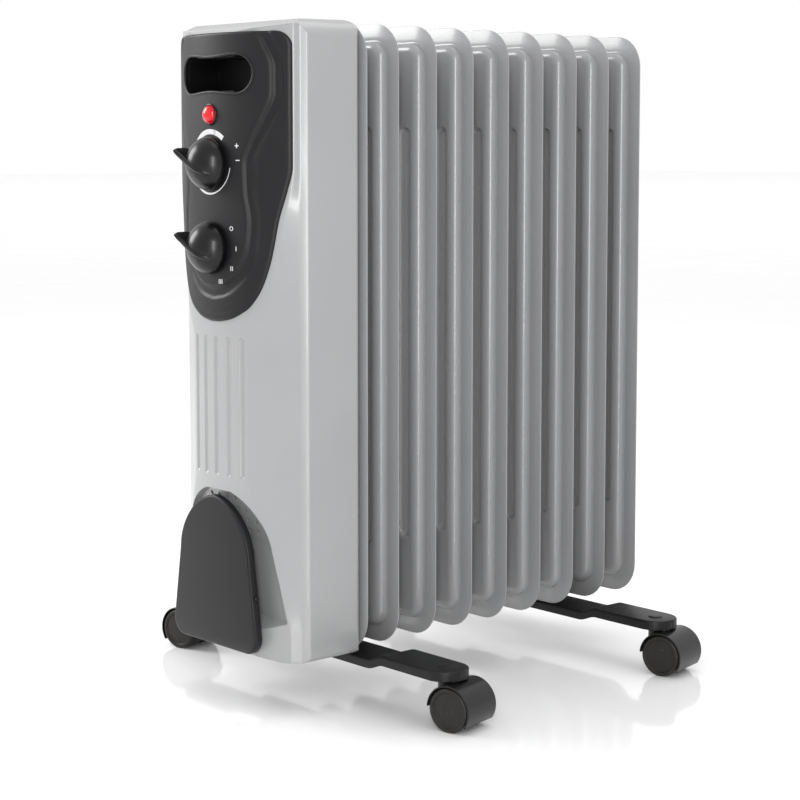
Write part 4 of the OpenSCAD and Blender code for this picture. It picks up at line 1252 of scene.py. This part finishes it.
class HEATER_OT_marks(bpy.types.Operator):
    """Prints the thermostat's growing band with plus and minus, and the selector's steps"""

    bl_idname = "heater.marks"
    bl_label = "Dial Marks"

    def execute(self, context):
        r = context.scene.heater_knobs.radius / MM
        warm = joint_place("thermostat_turn")[0].z
        steps = joint_place("selector_turn")[0].z
        parts = [band(warm, r + 2.4, -8, -308, 0.6, 4.6)]
        plus = (r + 10.5, warm + 16)
        minus = (r + 11.5, warm + 3)
        parts += [bar(*plus, 4.2, 0.9), bar(*plus, 0.9, 4.2), bar(*minus, 4.2, 0.9)]
        reach = r + 9
        for count, angle in ((0, 33), (1, 0), (2, -33), (3, -66)):
            t = math.radians(angle)
            x, z = reach * math.cos(t), steps + reach * math.sin(t)
            if count == 0:
                ring = arc(x, z, 2.1, 0, 360, 20)
                hole = arc(x, z, 1.4, 0, 360, 20)
                for i in range(20):
                    parts.append(printed("zero", [hole[i], ring[i], ring[i + 1], hole[i + 1]]))
            for k in range(count):
                parts.append(bar(x + (k - (count - 1) / 2) * 2, z, 0.8, 4.2))
        marks = finish_mesh(joined("dial_marks", parts))
        place_piece(marks, finish("print"))
        return {"FINISHED"}


class HEATER_OT_knobs(bpy.types.Operator):
    """Builds the thermostat knob and the selector knob"""

    bl_idname = "heater.knobs"
    bl_label = "Knobs"

    def execute(self, context):
        for dial in ("thermostat", "selector"):
            z = joint_place(f"{dial}_turn")[0].z
            knob = knob_piece(f"{dial}_dial_knob", z)
            body = f"{dial}_dial"
            place_piece(knob, finish("knob_plastic"), body, [f"{dial}_knob"])
        r = context.scene.heater_knobs.radius / MM
        dot = lathe(
            "selector_dot", [(0, 0), (1.5, 0.1), (1.5, 1.2), (0, 1.2)],
            (-2, ISLAND_Y - 9.2, joint_place("selector_turn")[0].z - r + 5), (0, 1, 0.25), 24,
        )
        place_piece(dot, finish("print"), "selector_dial")
        return {"FINISHED"}


# ---------- cord winder ----------


def shield(inset):
    """Outline of the winder plate, smaller by inset."""
    w = PLATE_HALF - inset
    low, high = PLATE_LOW.z + inset, PLATE_HIGH.z - inset
    r, arch_w, arch_h = 16 - inset, w - 10, 59 - inset
    right = [(0, low)] + arc(w - r, low + r, r, -90, 0, 10)
    flank = [(w, low + r), (w - 5, low + 48), (arch_w, high - arch_h), (arch_w - 1, high - arch_h + 9)]
    right += fillet(flank, 20, 5)[1:-1]
    for t in map(math.radians, spread(11, 88, 20)):
        right.append((arch_w * math.cos(t) ** 1.2, high - arch_h + arch_h * math.sin(t)))
    return mirrored(right + [(0, high)])


class HEATER_OT_winder(bpy.types.Operator):
    """Builds the winder plate with its turned-in edge and clip nub, and the post behind it"""

    bl_idname = "heater.winder"
    bl_label = "Cord Winder"

    def execute(self, context):
        front, lip = PLATE_LOW.y, PLATE_HIGH.y
        rows = [(2, front + 3), (2, lip), (1.4, lip), (0.6, lip - 0.3), (0.2, lip - 1), (0.2, front + 2.4)]
        rows += [(0.35, front + 1.5), (0.9, front + 0.7), (1.8, front + 0.2), (3.0, front)]
        plate = skin("winder_shield", [[(x, y, z) for x, z in shield(d)] for d, y in rows], 50)
        place_piece(plate, finish("panel_plastic"), stands_for=["winder_plate"])
        nub_z = (PLATE_LOW.z + PLATE_HIGH.z) / 2 - 18
        nub = [(0, 0), (2.6, 0), (2.6, 1.4), (2.0, 2.0), (0, 2.2)]
        clip = lathe("cord_clip_nub", nub, (PLATE_HALF - 6, lip - 3, nub_z), (1, 0, 0), 24)
        place_piece(clip, finish("panel_plastic"))
        low, high = box("winder_post")
        r = high.x
        outline = arc(0, high.z - r, r, 0, 180, 24) + arc(0, low.z + r, r, 180, 360, 24)
        post = softened(along_y("winder_core", outline, low.y, high.y), 0.8)
        place_piece(post, finish("black_plastic"), stands_for=["winder_post"])
        return {"FINISHED"}


# ---------- feet ----------

FOOT_RAMP = 22
FOOT_SKIRT = 9
FOOT_WALL = 2.5


def foot_piece(name, node):
    """An upside-down channel with round ends, dropped in the middle under the elements."""
    low, high = box(node)
    y = (low.y + high.y) / 2
    r = (high.y - low.y) / 2
    end_x = high.x - r
    middle = ELEMENT_HIGH.x + 7
    top_z = high.z - 1.2
    mid_z = ELEMENT_LOW.z - 2

    def top_at(x):
        return mid_z + (top_z - mid_z) * smooth((abs(x) - middle) / FOOT_RAMP)

    half = [0, middle * 0.5, middle] + [middle + FOOT_RAMP * t for t in spread(0.1, 1, 9)]
    half += [end_x + r * math.sin(math.radians(a)) for a in spread(0, 89, 18)]
    rings = []
    for x in [-x for x in reversed(half[1:])] + half:
        over = max(0.0, abs(x) - end_x)
        h = math.sqrt(max(0.04, r * r - over * over))
        inner = max(0.08, h - FOOT_WALL)
        z1 = top_at(x)
        z0 = z1 - FOOT_SKIRT
        e = min(2.2, h / 2)
        shoulder = arc(h - e, z1 - e, e, 0, 90, 5)
        outer = [(h - 0.15, z0)] + shoulder
        outer += [(-a, b) for a, b in reversed(outer)]
        under = z1 - min(FOOT_WALL, FOOT_SKIRT - 1)
        section = outer + [(-inner, z0), (-inner, under), (inner, under), (inner, z0)]
        rings.append([(x, y + a, b) for a, b in section])
    bar_piece = skin(name, rings, 35)
    parts = [bar_piece]
    for side in (-1, 1):
        boss = [(0, 2.2), (5.2, 2.2), (6.4, 1.9), (7, 1.1), (7, -0.4), (0, -0.4)]
        parts.append(lathe("boss", boss, (side * end_x, y, high.z - 2.2), (0, 0, 1), 48))
        socket = [(5.05, -6.5), (8, -6.5), (8, 0), (5.05, 0)]
        parts.append(lathe("socket", socket, (side * end_x, y, top_z - 1), (0, 0, 1), 48))
    return joined(name, parts)


class HEATER_OT_feet(bpy.types.Operator):
    """Builds the two cross feet"""

    bl_idname = "heater.feet"
    bl_label = "Feet"

    def execute(self, context):
        for node in ("front_foot", "rear_foot"):
            piece = foot_piece(f"{node}_moulding", node)
            place_piece(piece, finish("foot_plastic"), stands_for=[node])
        return {"FINISHED"}


# ---------- casters ----------


def wheel_piece(name, centre, axis, wheel_r, inner, outer, dish):
    """A wheel on its axis from the inner to the outer distance, with a domed and rimmed face."""
    bore = 2.55
    face = [(bore - 2.55, outer - 0.9), (3.0, outer - 0.9), (wheel_r * 0.55, outer - 0.5 - dish * 0.2)]
    face += [(wheel_r - 5.6, outer - dish), (wheel_r - 4.4, outer - dish), (wheel_r - 3.6, outer - 0.1)]
    face += [(wheel_r - 2.0, outer), (wheel_r - 0.8, outer - 0.5), (wheel_r - 0.15, outer - 1.4)]
    tread = [(wheel_r, outer - 2.6), (wheel_r, inner + 2.0), (wheel_r - 0.3, inner + 0.9)]
    inside = [(wheel_r - 1.2, inner), (wheel_r - 3.5, inner), (wheel_r - 3.8, outer - 5)]
    inside += [(5.5, outer - 5), (5.5, inner), (bore, inner)]
    profile = face + tread + inside + [(bore, outer - 4.6), (0, outer - 4.6)]
    return lathe(name, profile, centre, axis, 72, 34)


def hood_piece(name, corner, centre, axis):
    """A hood over both wheels with its web, neck and stem."""
    size = bpy.context.scene.heater_casters
    low, high = box(f"caster_hood_{corner}")
    stem = joint_place(f"swivel_{corner}")[0]
    wheel_r = centre.z
    room = wheel_r + size.gap / MM
    out = room + size.wall / MM
    web = size.web / MM / 2
    half = web + 0.5 + size.wheel_w / MM
    rim = [(out - 0.4, -half), (out, -half + 0.4), (out, half - 0.4), (out - 0.4, half)]
    shell = [(0, -half)] + rim + [(0, half)]
    sweep = lathe(name, shell, centre, axis, 96)
    outward = Vector((centre.x - stem.x, centre.y - stem.y, 0)).normalized()
    tilt = math.radians(20)
    down = Vector((0, 0, -1)) * math.cos(tilt) - outward * math.sin(tilt)
    along = axis
    cross = down.cross(along).normalized()
    corners = []
    for depth in (6, 70):
        for a, b in ((-70, -50), (70, -50), (70, 50), (-70, 50)):
            corners.append(centre + down * depth + cross * a + along * b)
    cutter = skin("cutter", [corners[:4], corners[4:]])
    combine(sweep, cutter)
    neck_r, stem_r = 7, 5
    neck_top = box("front_foot")[1].z - 1.2 - 7.5 - 0.3
    neck_h = neck_top - wheel_r - 2
    column = [(0, 0), (neck_r, 0), (neck_r, neck_h - 0.8), (neck_r - 0.8, neck_h), (0, neck_h)]
    neck = lathe("neck", column, (stem.x, stem.y, wheel_r + 2), (0, 0, 1), 48)
    pin = rod("pin", (stem.x, stem.y, wheel_r + 2), (0, 0, 1), stem_r, 0, high.z - wheel_r - 2)
    combine(sweep, neck, pin, operation="UNION")
    for side in (-1, 1):
        ends = sorted((side * web, side * (half + 2)))
        combine(sweep, rod("room", centre, axis, room, *ends, 96))
    combine(sweep, rod("bore", centre, axis, 2.5, -half, half))
    return softened(sweep, 0.35)


class HEATER_OT_casters(bpy.types.Operator):
    """Builds the four casters: hood, and a wheel on each side of its web"""

    bl_idname = "heater.casters"
    bl_label = "Casters"

    def execute(self, context):
        size = context.scene.heater_casters
        inner = size.web / MM / 2 + 0.5
        outer = inner + size.wheel_w / MM
        for corner in CORNERS:
            centre, axis = joint_place(f"roll_front_{corner}")
            hood = hood_piece(f"hood_{corner}", corner, centre, axis)
            node = f"caster_hood_{corner}"
            place_piece(hood, finish("hood_plastic"), f"caster_{corner}", [node])
            for end in ("front", "rear"):
                node = f"caster_{end}_wheel_{corner}"
                low, high = box(node)
                middle = (low + high) / 2
                way = axis if (middle - centre).dot(axis) > 0 else -axis
                dish = size.dish / MM
                wheel = wheel_piece(f"wheel_{end}_{corner}", centre, way, centre.z, inner, outer, dish)
                place_piece(wheel, finish("wheel_plastic"), f"{end}_wheel_{corner}", [node])
        return {"FINISHED"}


class HEATER_OT_carried(bpy.types.Operator):
    """Gives the CAD pieces that stay as they are their materials"""

    bl_idname = "heater.carried"
    bl_label = "Carried Pieces"

    def execute(self, context):
        for part in frame["record"]["subparts"]:
            mesh = frame["nodes"][part["node"]].data
            mesh.materials.clear()
            mesh.materials.append(finish(part["material_slot"]))
        return {"FINISHED"}


# ---------- studio ----------


def area_light(name, place, target, size, power):
    data = bpy.data.lights.new(name, "AREA")
    data.shape = "RECTANGLE"
    data.size, data.size_y = size
    data.energy = power
    lamp = bpy.data.objects.new(name, data)
    bpy.context.scene.collection.objects.link(lamp)
    lamp.location = place
    lamp.rotation_euler = (Vector(target) - Vector(place)).to_track_quat("-Z", "Y").to_euler()
    return lamp


class HEATER_OT_stage(bpy.types.Operator):
    """Sets up the floor, the lights, the surroundings and the camera"""

    bl_idname = "heater.stage"
    bl_label = "Studio"

    def execute(self, context):
        stage = context.scene.heater_stage
        reach = 30
        mesh = bpy.data.meshes.new("studio_floor")
        corners = [(-reach, -reach, 0), (reach, -reach, 0), (reach, reach, 0), (-reach, reach, 0)]
        mesh.from_pydata(corners, [], [(0, 1, 2, 3)])
        floor = bpy.data.objects.new("studio_floor", mesh)
        context.scene.collection.objects.link(floor)
        mesh.materials.append(floor_white(stage.floor))
        area_light("key", (-2.5, -1.5, 1.7), (0, 0, 0.35), (1.4, 1.6), stage.key)
        area_light("fill", (1.62, -1.5, 0.8), (0, 0, 0.32), (0.35, 1.5), stage.fill)
        area_light("top", (0.2, 0.6, 3.0), (0, 0, 0.3), (2.2, 2.2), stage.key * 0.35)
        context.scene.view_settings.view_transform = "Standard"
        world = bpy.data.worlds.new("studio")
        world.use_nodes = True
        world.node_tree.nodes["Background"].inputs["Color"].default_value = (1, 1, 1, 1)
        world.node_tree.nodes["Background"].inputs["Strength"].default_value = stage.sky
        context.scene.world = world
        data = bpy.data.cameras.new("camera")
        data.lens = stage.focal
        data.sensor_width = 36
        data.shift_y = -0.0977
        data.clip_end = 100
        camera = bpy.data.objects.new("camera", data)
        camera.location = (1.4490, -1.2765, 0.5168)
        camera.rotation_euler = (math.radians(84.88), 0, math.radians(48.62))
        context.scene.collection.objects.link(camera)
        context.scene.camera = camera
        return {"FINISHED"}


OPERATORS = (
    HEATER_OT_stage, HEATER_OT_carried, HEATER_OT_elements, HEATER_OT_welds, HEATER_OT_housing,
    HEATER_OT_panel, HEATER_OT_pilot, HEATER_OT_marks, HEATER_OT_knobs, HEATER_OT_winder, HEATER_OT_feet,
    HEATER_OT_casters,
)


class HEATER_PT_sidebar(bpy.types.Panel):
    """Lists the heater's pieces"""

    bl_idname = "HEATER_PT_sidebar"
    bl_label = "Oil Radiator Heater"
    bl_space_type = "VIEW_3D"
    bl_region_type = "UI"
    bl_category = "Heater"

    def draw(self, context):
        for operator in OPERATORS:
            self.layout.operator(operator.bl_idname)


CLASSES = (*GROUPS.values(), *OPERATORS, HEATER_PT_sidebar)


def register():
    for cls in CLASSES:
        bpy.utils.register_class(cls)
    for name, group in GROUPS.items():
        setattr(bpy.types.Scene, name, PointerProperty(type=group))


def unregister():
    for name in GROUPS:
        delattr(bpy.types.Scene, name)
    for cls in reversed(CLASSES):
        bpy.utils.unregister_class(cls)


def main():
    register()
    for operator in OPERATORS:
        group, name = operator.bl_idname.split(".")
        getattr(getattr(bpy.ops, group), name)()


if __name__ == "__main__":
    main()
